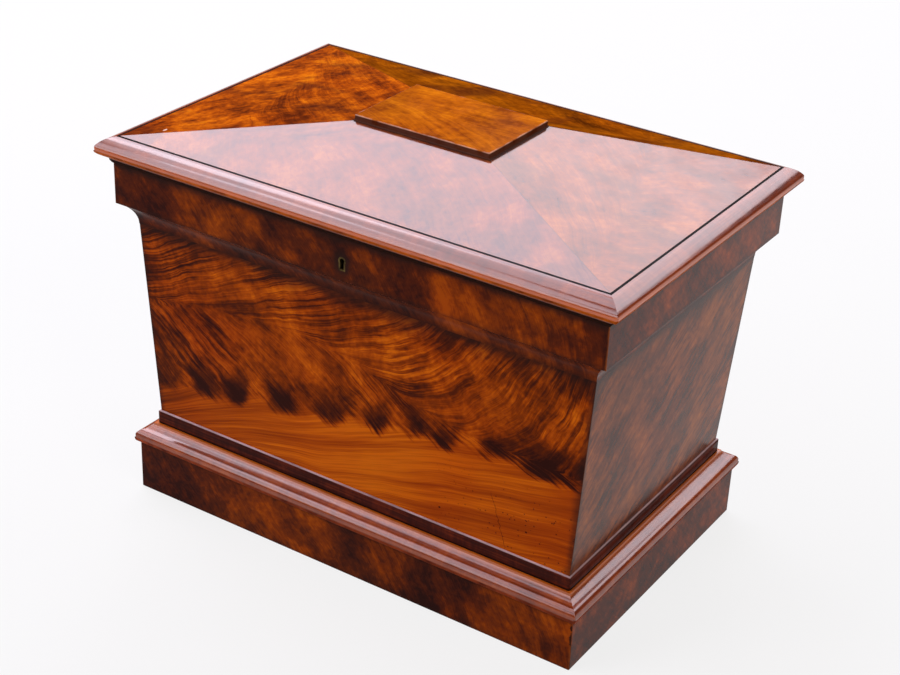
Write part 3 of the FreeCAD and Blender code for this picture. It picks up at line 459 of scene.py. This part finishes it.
# its sides are cut across the grain, which takes the stain darker, and are darkened further with painted
# shade, most at their foot
height = add(tree, "SeparateXYZ", {0: add(tree, "TexCoord", out="Object")}, out="Z")
cut = add(tree, "MapRange", {"Value": height, "From Min": TABLET_EDGE, "From Max": 0.5546,
                             "To Min": 0.92, "To Max": 0.0})
side_shade = add(tree, "MapRange", {"Value": height, "From Min": TABLET_FOOT, "From Max": 0.553})
shaded_side_colour = add(tree, "ValToRGB", {"Fac": side_shade}, stops=TABLET_SIDES_IN_SHADE)
colour = add(tree, "Mix", {0: cut, 6: colour, 7: shaded_side_colour}, out=2, data_type="RGBA")
french_polish(tree, place, colour, fibre, 0.02, 0.08)
dress(material, "tablet")


# the frieze, the cove and the plinth are cut from darker stumps, with orange patches along them: how
# much lighter they are, against the run in metres
FRIEZE_PATCHES = [(0.0, 0.30), (0.08, 0.30), (0.13, 0.55), (0.22, 0.50), (0.25, 0.22), (0.29, 0.48),
                  (0.34, 0.20), (0.42, 0.46), (0.45, 0.30), (0.50, 0.80), (0.57, 0.62), (0.61, 0.66),
                  (0.68, 0.45), (0.72, 0.20)]
COVE_PATCHES = [(0.0, 0.30), (0.08, 0.42), (0.12, 0.58), (0.16, 0.38), (0.30, 0.32), (0.45, 0.36),
                (0.49, 0.74), (0.53, 0.78), (0.56, 0.36), (0.62, 0.52), (0.72, 0.36)]
PLINTH_PATCHES = [(0.0, 0.14), (0.12, 0.26), (0.17, 0.58), (0.30, 0.62), (0.35, 0.28), (0.42, 0.55),
                  (0.46, 0.12), (0.52, 0.16), (0.55, 0.62), (0.60, 0.60), (0.66, 0.60), (0.70, 0.35)]
END_PATCHES = [(0.0, 0.45), (0.10, 0.55), (0.22, 0.42), (0.32, 0.50), (0.45, 0.35)]
STUMP_SPINE = [(0.0, 0.20), (1.0, 0.20)]
STUMP_LEAN = [(0.0, 0.16), (0.3, 0.28), (0.7, 0.12)]
# name, floor, height, half of the long and of the short sides, patches of the long sides, sheen
STUMP_PIECES = (
    ("frieze_", FRIEZE_FLOOR, FRIEZE_RISE, 0.3532, 0.2232, FRIEZE_PATCHES, {"front": 0.03, "right": 0.11}),
    ("cove_", COVE_FLOOR, COVE_RISE, 0.3532, 0.2232, COVE_PATCHES, {"front": 0.03, "right": 0.09}),
    ("plinth_", 0.0, PLINTH_RISE, 0.3365, 0.215, PLINTH_PATCHES, {"front": 0.03, "right": 0.05}))
# a bruise knocked out of the plinth's right corner
PLINTH_BRUISE = [((0.676, 0.046), (0.0034, 0.0110)), ((0.6745, 0.062), (0.002, 0.004))]

for number, side in enumerate(SIDES):
    wide = side in LONG_SIDES
    for prefix, floor, height, half_long, half_short, patches, sheen in STUMP_PIECES:
        half = half_long if wide else half_short
        reach = half + 0.003
        material, tree = new_material("Flame mahogany " + prefix + side)
        place = laid_out(tree, UPRIGHT[side], (reach, -floor, 50 + 1.7 * number))
        tone, fibre = crotch_figure(tree, place, STUMP_SPINE, STUMP_LEAN, STUMP_LEAN, barbed=0.12)
        light = add(tree, "FloatCurve", {"Value": add(tree, "SeparateXYZ", {0: place})},
                    curve=patches if wide else END_PATCHES)
        light = add(tree, "Math", {0: light, 1: -0.85, 2: 0.46}, operation="MULTIPLY_ADD")
        tone = add(tree, "Math", {0: tone, 1: light}, use_clamp=True)
        colour = flame_tones(tree, place, tone, DARK_TONES, 0.75, 0.56)
        end, level = edge_gap(tree, place, reach, half, height)
        # painted shade along the top and the foot, where each piece meets its neighbours
        colour = grime_and_shade(tree, place, colour, level, 0.006, 0.5)
        if prefix == "cove_":
            # painted shade in the hollow, darker towards its edges
            colour = grime_and_shade(tree, place, colour, level, 0.030, 0.15)
        if prefix == "frieze_":
            # painted shadow of the lid along the frieze's top
            top = add(tree, "SeparateXYZ", {0: place}, out="Y")
            top = add(tree, "Math", {0: height, 1: top}, operation="SUBTRACT")
            colour = grime_and_shade(tree, place, colour, top, 0.012, 0.7)
        if prefix + side == "frieze_front":
            # wax and finger grease round the keyhole
            hole = add(tree, "VectorMath", {0: place, 1: (reach, KEYHOLE_RISE, 0.0)}, operation="SUBTRACT")
            hole = add(tree, "VectorMath", {0: hole, 1: (1.0, 0.8, 0.0)}, operation="MULTIPLY")
            hole = add(tree, "VectorMath", {0: hole}, operation="LENGTH", out="Value")
            hole = add(tree, "Math", {0: hole, 1: 0.007}, operation="SUBTRACT")
            colour = grime_and_shade(tree, place, colour, hole, 0.009, 0.85)
        if prefix != "cove_":
            colour = wear_and_highlight(tree, place, colour, end, "#9A5020")
        if prefix + side == "plinth_front":
            colour = mark(tree, place, colour, PLINTH_BRUISE, "#1A0E0B")
        french_polish(tree, place, colour, fibre, sheen.get(side, 0.08))
        dress(material, prefix + side)


# ---- mouldings ------------------------------------------------------------------------------------
# Solid mahogany run with a moulding plane, the grain along it with a faint ripple across. The crests have
# lost their stain to dusters, and the foot moulding's top carries a painted highlight; the quirks of the cap
# and the foot moulding are darkened with painted shade and dulled by old wax.

def moulded_mahogany(name, side, floor, crest, tones, sheen, bare_and_highlight="#C8661C", gloss=0.15, calm=1.0,
                     quirk=((0.0, 0.0), (1.0, 0.0))):
    """crest: how far the stain is worn off, and on the foot moulding how strong the painted highlight is,
    against the height above floor, in tenths of a metre. quirk: how strongly painted shade darkens it and old
    wax dulls it, against that height."""
    material, tree = new_material(name)
    place = laid_out(tree, UPRIGHT[side], (0.40, -floor, 0.0))
    # streaks 3 mm high and 150 mm long, ripples 9 mm apart, blotches of 60 mm
    layers = []
    for size in ((150, 3.0, 6.0), (9, 40, 40), (60, 40, 40)):
        spread = add(tree, "Mapping", {"Vector": place, "Scale": [1000 / s for s in size]})
        layers.append(add(tree, "TexNoise", {"Vector": spread, "Scale": 1.0, "Detail": 4.0,
                                             "Roughness": 0.6}))
    tone = add(tree, "Math", {0: layers[0], 1: 1.1 * calm, 2: 0.5 - 1.35 * calm}, operation="MULTIPLY_ADD")
    tone = add(tree, "Math", {0: layers[1], 1: 0.6 * calm, 2: tone}, operation="MULTIPLY_ADD")
    tone = add(tree, "Math", {0: layers[2], 1: 1.0 * calm, 2: tone}, operation="MULTIPLY_ADD", use_clamp=True)
    colour = add(tree, "ValToRGB", {"Fac": tone}, stops=tones)
    height = add(tree, "SeparateXYZ", {0: place}, out="Y")
    height = add(tree, "Math", {0: height, 1: 10.0}, operation="MULTIPLY")
    worn = add(tree, "FloatCurve", {"Value": height}, curve=crest)
    patch = add(tree, "MapRange", {"Value": layers[2], "From Min": 0.3, "From Max": 0.6,
                                   "To Min": 0.45, "To Max": 1.0})
    worn = add(tree, "Math", {0: worn, 1: patch}, operation="MULTIPLY")
    # the worn stain, and on the foot moulding a painted highlight
    colour = add(tree, "Mix", {0: worn, 6: colour, 7: linear(bare_and_highlight)}, out=2, data_type="RGBA")
    # painted shade in the quirks, which old wax also dulls
    waxed = add(tree, "FloatCurve", {"Value": height}, curve=quirk)
    colour = add(tree, "Mix", {0: waxed, 6: colour, 7: linear("#140A08")}, out=2, data_type="RGBA")
    french_polish(tree, place, colour, layers[0], sheen, gloss, waxed=waxed)
    return material


# how far the stain is worn off up the lid's moulding, the plinth's cap, the foot moulding and the rim; at the
# foot moulding's top this is a painted highlight
LID_CREST = [(0.0, 0.0), (0.10, 0.0), (0.14, 0.75), (0.20, 0.85), (0.235, 0.2), (0.30, 0.0), (1.0, 0.0)]
CAP_CREST = [(0.0, 0.0), (0.10, 0.0), (0.20, 0.0), (0.235, 0.6), (0.27, 0.8), (1.0, 0.8)]
FOOT_CREST = [(0.0, 0.0), (0.172, 0.0), (0.179, 0.9), (0.187, 1.0), (0.25, 1.0), (1.0, 1.0)]
RIM_CREST = [(0.0, 0.0), (0.04, 0.0), (0.05, 0.4), (1.0, 0.4)]
for side in SIDES:
    seen = side in SEEN_SIDES
    dress(moulded_mahogany("Mahogany lid moulding " + side, side, JOINT, LID_CREST,
                           LID_EDGE_TONES, 0.84 if seen else 0.04, bare_and_highlight="#D25E08", gloss=0.10, calm=0.8),
          "lid_moulding_" + side)
    # the cap's quirk under its nose is darkened with painted shade
    dress(moulded_mahogany("Mahogany plinth cap " + side, side, PLINTH_RISE, CAP_CREST,
                           CAP_TONES, {"front": 0.60, "right": 0.76}.get(side, 0.25), gloss=0.12,
                           quirk=[(0.0, 0.9), (0.006, 0.8), (0.015, 0.0), (1.0, 0.0)]), "plinth_cap_" + side)
    # the foot moulding's pale lavender top is a painted highlight, and its quirk is darkened with painted
    # shade
    dress(moulded_mahogany("Mahogany foot moulding " + side, side, BODY_FLOOR, FOOT_CREST,
                           BAND_TONES, 0.04, bare_and_highlight="#C4A8AC",
                           quirk=[(0.0, 1.0), (0.02, 0.7), (0.05, 0.0), (1.0, 0.0)]), "foot_moulding_" + side)
    dress(moulded_mahogany("Mahogany rim " + side, side, RIM_FLOOR, RIM_CREST, EDGE_TONES, 0.20, gloss=0.3),
          "rim_" + side)


# ---- plain woods ----------------------------------------------------------------------------------

def plain_wood(name, tones, turn, coarse, sheen, rough):
    """Straight-grained boards left with little or no polish. coarse: distance between rings in mm."""
    material, tree = new_material(name)
    place = laid_out(tree, turn, (0.4, 0.3, 7.0))
    spread = add(tree, "Mapping", {"Vector": place, "Scale": (2.5, 1000 / coarse, 1000 / coarse)})
    rings = add(tree, "TexNoise", {"Vector": spread, "Scale": 1.0, "Detail": 5.0, "Roughness": 0.62})
    spread = add(tree, "Mapping", {"Vector": place, "Scale": (40.0, 900.0, 900.0)})
    pores = add(tree, "TexNoise", {"Vector": spread, "Scale": 1.0, "Detail": 2.0})
    tone = add(tree, "Math", {0: pores, 1: 0.5, 2: rings}, operation="MULTIPLY_ADD")
    tone = add(tree, "MapRange", {"Value": tone, "From Min": 0.50, "From Max": 1.0})
    colour = add(tree, "ValToRGB", {"Fac": tone}, stops=tones)
    stain = add(tree, "TexNoise", {"Vector": place, "Scale": 1000 / 90, "Detail": 4.0})
    stain = add(tree, "MapRange", {"Value": stain, "From Min": 0.5, "From Max": 0.75,
                                   "To Min": 0.0, "To Max": 0.5})
    colour = add(tree, "Mix", {0: stain, 6: colour, 7: linear("#6E4A30")}, out=2, data_type="RGBA",
                 blend_type="MULTIPLY")
    dull = add(tree, "MapRange", {"Value": rings, "From Min": 0.3, "From Max": 0.7,
                                  "To Min": rough, "To Max": rough + 0.15})
    bump = add(tree, "Bump", {"Height": pores, "Strength": 0.5, "Distance": 0.00015}, out="Normal")
    shader = add(tree, "BsdfPrincipled", {"Base Color": colour, "Roughness": dull, "IOR": 1.5,
                                          "Specular IOR Level": sheen, "Normal": bump})
    add(tree, "OutputMaterial", {"Surface": shader})
    return material


# yellow deal: sawn and planed, darkened with age, never polished
PINE_TONES = [(0.0, "#C89A60"), (0.6, "#A8773F"), (1.0, "#7A4F28")]
dress(plain_wood("Old pine", PINE_TONES, (0, 0, 0), 9.0, 0.15, 0.7), "bottom_board", "front_board",
      "back_board", "plinth_corner_blocks")
dress(plain_wood("Old pine ends", PINE_TONES, (0, 0, 90), 9.0, 0.15, 0.7), "left_board", "right_board")
# straight-grained Honduras mahogany, planed and given one coat of polish
PLAIN_TONES = [(0.0, "#9A5226"), (0.5, "#7C3A1A"), (1.0, "#4E2210")]
dress(plain_wood("Plain mahogany", PLAIN_TONES, (0, 0, 0), 6.0, 0.30, 0.40), "dividers_long", "lid_lining")
dress(plain_wood("Plain mahogany cross dividers", PLAIN_TONES, (0, 0, 90), 6.0, 0.30, 0.40), "dividers_cross")


# ---- ebony ----------------------------------------------------------------------------------------
# Ebony stringing: a sawn strip let in flush and polished over; nearly black, with brown fibres.

material, tree = new_material("Ebony stringing")
place = add(tree, "TexCoord", out="Object")
fibre = add(tree, "TexNoise", {"Vector": place, "Scale": 1000 / 3, "Detail": 3.0})
colour = add(tree, "ValToRGB", {"Fac": fibre}, stops=[(0.35, "#070504"), (0.75, "#1C120D")])
dull = add(tree, "MapRange", {"Value": fibre, "To Min": 0.35, "To Max": 0.55})
bump = add(tree, "Bump", {"Height": fibre, "Strength": 0.3, "Distance": 0.00003}, out="Normal")
shader = add(tree, "BsdfPrincipled", {"Base Color": colour, "Roughness": dull, "IOR": 1.5,
                                      "Specular IOR Level": 0.03, "Normal": bump})
add(tree, "OutputMaterial", {"Surface": shader})


def strip_round(name, body, section, less, finish):
    """A closed section, half lengths and heights in metres, run round the chest with mitred corners.
    less: how much shorter half its depth is than half its length."""
    form = bmesh.new()
    corners = ((-1, -1), (1, -1), (1, 1), (-1, 1))
    rings = [[form.verts.new((x * half, y * (half - less), z)) for x, y in corners] for half, z in section]
    for ring, other in zip(rings, rings[1:] + rings[:1]):
        for i in range(4):
            form.faces.new((ring[i], ring[(i + 1) % 4], other[(i + 1) % 4], other[i]))
    bmesh.ops.recalc_face_normals(form, faces=form.faces)
    mesh = bpy.data.meshes.new(name)
    form.to_mesh(mesh)
    form.free()
    mesh.materials.append(finish)
    strip = bpy.data.objects.new(name, mesh)
    bpy.context.scene.collection.objects.link(strip)
    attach(strip, body)
    return strip


def skin(arcs, inner, outer):
    """The section of a thin coat over some arcs, each a centre, a radius and its angles in degrees.
    inner and outer: its two faces, in metres off those arcs."""
    coat = []
    for out in (inner, outer):
        coat.append([(x + (radius + out) * math.cos(math.radians(turn)),
                      z + (radius + out) * math.sin(math.radians(turn)))
                     for x, z, radius, turns in arcs for turn in turns])
    return coat[0] + coat[1][::-1]


# how much shorter half the depth is than half the length
LID_LESS = 0.130
PLINTH_LESS = 0.1215

# the strip and the black glue squeezed out along both sides of it, 3 mm over all and a tenth of a
# millimetre proud; it stands for the strip in the CAD parts, which is 2.2 mm wide
STRING_SECTION = ((0.3491, 0.50780), (0.3491, 0.50962), (0.3495, 0.50962), (0.3495, 0.50975),
                  (0.3465, 0.51004), (0.3465, 0.50994), (0.3469, 0.50982), (0.3469, 0.50780))
strip = strip_round("stringing", "lid", STRING_SECTION, LID_LESS, material)
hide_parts("lid_stringing")

# A dark sheet, 0.3 mm thick, laid into the quirk under the lid's edge: painted shade that stands for the
# shadow there. It hardly shines.
material, tree = new_material("Dark sheet for painted shade")
place = add(tree, "TexCoord", out="Object")
shade_speckle = add(tree, "TexNoise", {"Vector": place, "Scale": 1000 / 2.5, "Detail": 3.0})
colour = add(tree, "ValToRGB", {"Fac": shade_speckle}, stops=[(0.35, "#150B07"), (0.70, "#341609")])
dull = add(tree, "MapRange", {"Value": shade_speckle, "To Min": 0.7, "To Max": 0.95})
bump = add(tree, "Bump", {"Height": shade_speckle, "Strength": 0.4, "Distance": 0.00008}, out="Normal")
shader = add(tree, "BsdfPrincipled", {"Base Color": colour, "Roughness": dull, "IOR": 1.45,
                                      "Specular IOR Level": 0.05, "Normal": bump})
add(tree, "OutputMaterial", {"Surface": shader})
strip_round("shade_sheet_in_quirk", "lid", skin([(0.3427, 0.4847, 0.0146, range(-44, -14, 5))], 0.0, 0.0003),
            LID_LESS, material)


def handled_edge(name, light, dark):
    """Mahogany on the underside of an edge, where hands that lift it have worn the polish off and
    left oiled wood, 0.1 mm of it: orange, darker in patches of 25 mm, nearly matt."""
    material, tree = new_material(name)
    place = add(tree, "TexCoord", out="Object")
    patch = add(tree, "TexNoise", {"Vector": place, "Scale": 1000 / 25, "Detail": 5.0, "Roughness": 0.65})
    colour = add(tree, "ValToRGB", {"Fac": patch}, stops=[(0.36, light), (0.66, dark)])
    dull = add(tree, "MapRange", {"Value": patch, "From Min": 0.3, "From Max": 0.7,
                                  "To Min": 0.45, "To Max": 0.65})
    fibre = add(tree, "TexNoise", {"Vector": place, "Scale": 1000 / 1.5, "Detail": 2.0})
    bump = add(tree, "Bump", {"Height": fibre, "Strength": 0.4, "Distance": 0.00005}, out="Normal")
    shader = add(tree, "BsdfPrincipled", {"Base Color": colour, "Roughness": dull, "IOR": 1.45,
                                          "Specular IOR Level": 0.04, "Normal": bump})
    add(tree, "OutputMaterial", {"Surface": shader})
    return material


WORN_COAT = (0.00002, 0.00012)          # its faces, off the polished wood
strip_round("worn_lid_edge", "lid",
            skin([(0.348297, 0.509665, 0.028903, (-71, -67, -63, -59, -55, -51, -47, -44)),
                  (0.361003, 0.493522, 0.008997, (-25, -18, -10))], *WORN_COAT), LID_LESS,
            handled_edge("Oiled mahogany, lid edge", "#BE5A0A", "#74300A"))
strip_round("worn_cap_edge", "case",
            skin([(0.337877, 0.075188, 0.003473, (-75, -62, -49, -36, -23, -10)),
                  (0.330467, 0.078255, 0.011433, (-18, -10, -2))], *WORN_COAT), PLINTH_LESS,
            handled_edge("Oiled mahogany, plinth cap edge", "#98401C", "#5A200E"))


# ---- metals ---------------------------------------------------------------------------------------

def old_brass(name, bright, dark, grit, rough):
    """Brass that has gone unpolished: brown tarnish in clouds, brighter where it is rubbed.
    grit: distance in mm between casting pits or turning marks, drawn three times as coarse."""
    material, tree = new_material(name)
    place = add(tree, "TexCoord", out="Object")
    cloud = add(tree, "TexNoise", {"Vector": place, "Scale": 1000 / 9, "Detail": 5.0, "Roughness": 0.65})
    grain = add(tree, "TexNoise", {"Vector": place, "Scale": 1000 / grit, "Detail": 2.0})
    colour = add(tree, "ValToRGB", {"Fac": cloud}, stops=[(0.35, bright), (0.68, dark)])
    dull = add(tree, "MapRange", {"Value": cloud, "From Min": 0.3, "From Max": 0.7,
                                  "To Min": rough, "To Max": rough + 0.25})
    bump = add(tree, "Bump", {"Height": grain, "Strength": 0.4, "Distance": 0.00004}, out="Normal")
    shader = add(tree, "BsdfPrincipled", {"Base Color": colour, "Metallic": 1.0, "Roughness": dull,
                                          "Normal": bump})
    add(tree, "OutputMaterial", {"Surface": shader})
    return material


dress(old_brass("Cast brass, tarnished", "#B08A48", "#6A4A22", 0.9, 0.32),
      "lock_case", "lock_cap", "lock_link_plate", "hinge_leaf_case_left", "hinge_leaf_case_right",
      "hinge_leaf_lid_left", "hinge_leaf_lid_right")
dress(old_brass("Cast brass, escutcheon thread", "#6A5830", "#352818", 0.7, 0.45), "keyhole_escutcheon")
TURNED_BRASS = old_brass("Turned brass", "#C29A52", "#7C5A2A", 0.4, 0.25)
dress(TURNED_BRASS, "hinge_pins", "lock_bolt")

# Zinc sheet, rolled and soldered: a blue-grey metal with a faint spangle and white bloom in clouds.
material, tree = new_material("Rolled zinc")
place = add(tree, "TexCoord", out="Object")
spangle = add(tree, "TexVoronoi", {"Vector": place, "Scale": 1000 / 14}, out="Color")
spangle = add(tree, "SeparateXYZ", {0: spangle})
cloud = add(tree, "TexNoise", {"Vector": place, "Scale": 1000 / 70, "Detail": 6.0, "Roughness": 0.65})
tone = add(tree, "Math", {0: spangle, 1: 0.18, 2: cloud}, operation="MULTIPLY_ADD")
colour = add(tree, "ValToRGB", {"Fac": tone}, stops=[(0.35, "#6E7274"), (0.60, "#8F9496"), (0.85, "#C2C5C4")])
dull = add(tree, "MapRange", {"Value": tone, "From Min": 0.3, "From Max": 0.9,
                              "To Min": 0.42, "To Max": 0.75})
bump = add(tree, "Bump", {"Height": cloud, "Strength": 0.5, "Distance": 0.0004}, out="Normal")
shader = add(tree, "BsdfPrincipled", {"Base Color": colour, "Metallic": 0.85, "Roughness": dull,
                                      "Normal": bump})
add(tree, "OutputMaterial", {"Surface": shader})
dress(material, "liner")


# ---- screws ---------------------------------------------------------------------------------------
# Hand-filed brass wood screws with a slot across a countersunk head.

def wood_screw(name, body, spot, up, head, shank, depth, slot_turn):
    """A countersunk head that fills its hole, 0.1 mm under the face. up: 1 where the point is above."""
    form = bmesh.new()
    bmesh.ops.create_cone(form, cap_ends=True, segments=24, radius1=shank, radius2=head, depth=depth)
    wide = [face for face in form.faces if face.normal.z > 0.9]
    slot = head * 0.16
    for place in (-slot, slot):
        bmesh.ops.bisect_plane(form, geom=form.verts[:] + form.edges[:] + form.faces[:], dist=1e-7,
                               plane_co=(0.0, place, 0.0), plane_no=(0.0, 1.0, 0.0))
    cut = [face for face in form.faces
           if face.normal.z > 0.9 and abs(face.calc_center_median().y) < slot * 0.5]
    floor = bmesh.ops.extrude_face_region(form, geom=cut)["geom"]
    bmesh.ops.translate(form, verts=[v for v in floor if isinstance(v, bmesh.types.BMVert)],
                        vec=(0.0, 0.0, -depth * 0.45))
    bmesh.ops.delete(form, geom=[face for face in cut if face.is_valid], context="FACES_ONLY")
    bmesh.ops.rotate(form, verts=form.verts, matrix=Matrix.Rotation(math.radians(slot_turn), 3, "Z"))
    bmesh.ops.translate(form, verts=form.verts, vec=(0.0, 0.0, -depth / 2 - 0.0001))
    if up > 0:
        bmesh.ops.rotate(form, verts=form.verts, matrix=Matrix.Rotation(math.pi, 3, "X"))
    bmesh.ops.translate(form, verts=form.verts, vec=spot)
    bmesh.ops.remove_doubles(form, verts=form.verts, dist=1e-6)
    bmesh.ops.recalc_face_normals(form, faces=form.faces)
    mesh = bpy.data.meshes.new(name)
    form.to_mesh(mesh)
    form.free()
    mesh.materials.append(TURNED_BRASS)
    screw = bpy.data.objects.new(name, mesh)
    bpy.context.scene.collection.objects.link(screw)
    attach(screw, body)


# radius of the head, radius of the shank, depth
HINGE_SCREW = (0.0031, 0.0014, 0.0017)
LOCK_SCREW = (0.0023, 0.0011, 0.0024)
LINK_SCREW = (0.0023, 0.0011, 0.0019)
HINGE_MIDDLES = (("left", -0.2), ("right", 0.2))
LEAF_HOLES = ((-0.021, 0.21195), (0.0, 0.21595), (0.021, 0.21195))      # along the leaf, and to the back
LOCK_LINE = -0.1953

for side, middle in HINGE_MIDDLES:
    for number, (shift, back) in enumerate(LEAF_HOLES):
        for body, up in (("case", -1), ("lid", 1)):
            wood_screw("hinge_screw_%s_%s_%d" % (body, side, number), body, (middle + shift, back, JOINT), up,
                       *HINGE_SCREW, 37 * number + 20 + 50 * up)
for number, place in enumerate((-0.035, 0.035)):
    wood_screw("lock_screw_%d" % number, "case", (place, LOCK_LINE, JOINT), -1, *LOCK_SCREW, 15 + 70 * number)
for number, place in enumerate((-0.0312, 0.0312)):
    wood_screw("link_plate_screw_%d" % number, "lid", (place, LOCK_LINE, JOINT), 1, *LINK_SCREW,
               80 - 50 * number)


# ---- stage ----------------------------------------------------------------------------------------

def make_floor():
    """White paper, wide enough to be the whole background."""
    sheet = bmesh.new()
    bmesh.ops.create_circle(sheet, cap_ends=True, segments=96, radius=40.0)
    mesh = bpy.data.meshes.new("floor")
    sheet.to_mesh(mesh)
    sheet.free()
    floor = bpy.data.objects.new("floor", mesh)
    bpy.context.scene.collection.objects.link(floor)
    material, tree = new_material("Pale floor paper")
    ray = add(tree, "LightPath")
    seen = add(tree, "Math", {0: ray, 1: ray.node.outputs["Is Glossy Ray"]}, operation="MAXIMUM")
    seen = add(tree, "Math", {0: seen, 1: ray.node.outputs["Is Transmission Ray"]}, operation="MAXIMUM")
    share = add(tree, "Math", {0: seen, 1: 0.8}, operation="MULTIPLY")
    paper = add(tree, "BsdfDiffuse", {"Color": linear("#CFCFCF")})
    white = add(tree, "Emission", {"Color": (1, 1, 1, 1), "Strength": 1.0})
    add(tree, "OutputMaterial", {"Surface": add(tree, "MixShader", {0: share, 1: paper, 2: white})})
    mesh.materials.append(material)


def area_light(name, bearing, height, distance, size, lean, radiance, colour):
    """A soft panel that faces the middle of the lid. bearing: degrees right of straight behind it.
    height: degrees above it. lean: degrees that the panel is turned in its own plane."""
    aim = Vector((0.0, 0.0, 0.45))
    heading = Euler((math.radians(height), 0.0, math.radians(-bearing))).to_matrix()
    away = heading @ Vector((0.0, distance, 0.0))
    light = bpy.data.lights.new(name, "AREA")
    light.shape = "RECTANGLE"
    light.size, light.size_y = size
    light.energy = radiance * math.pi * size[0] * size[1]
    light.color = linear(colour)[:3]
    lamp = bpy.data.objects.new(name, light)
    lamp.location = aim + away
    turn = (-away).to_track_quat("-Z", "Y").to_matrix() @ Matrix.Rotation(math.radians(lean), 3, "Z")
    lamp.rotation_euler = turn.to_euler()
    bpy.context.scene.collection.objects.link(lamp)


def make_world():
    world = bpy.data.worlds.new("studio")
    world.use_nodes = True
    tree = world.node_tree
    tree.nodes.clear()
    glow = add(tree, "Background", {"Color": linear("#DADFE6"), "Strength": 0.10})
    add(tree, "OutputWorld", {"Surface": glow})
    bpy.context.scene.world = world


def make_camera():
    camera = bpy.data.cameras.new("camera")
    camera.sensor_width = 36.0
    camera.lens = 73.705
    camera.clip_end = 200.0
    holder = bpy.data.objects.new("camera", camera)
    holder.location = (1.13443, -1.77994, 1.38754)
    holder.rotation_euler = [math.radians(t) for t in (61.6373, -2.3155, 33.4806)]
    bpy.context.scene.collection.objects.link(holder)
    bpy.context.scene.camera = holder


make_floor()
make_world()
make_camera()
# name, bearing, height, distance, size, lean, radiance, colour
LAMPS = (("panel behind left", -54.0, 45.0, 5.2, (4.4, 2.60), 4.0, 5.2, "#EFECFC"),
         ("panel behind right", 4.0, 38.0, 5.2, (6.2, 2.20), 6.6, 4.4, "#F4EEF8"),
         ("panel at the left", -93.0, 59.0, 5.0, (3.8, 2.3), 0.0, 4.0, "#F4EEFC"),
         ("high front panel", -137.0, 42.0, 5.0, (2.6, 2.2), 0.0, 4.3, "#F4EEFC"),
         ("front lamp", -147.0, 20.5, 5.0, (2.4, 1.8), 0.0, 4.3, "#FBF6FF"),
         ("right lamp", 106.0, 30.0, 5.0, (2.6, 2.4), 0.0, 4.1, "#FFF0DA"))
for lamp in LAMPS:
    area_light(*lamp)
bpy.context.scene.view_settings.view_transform = "Standard"
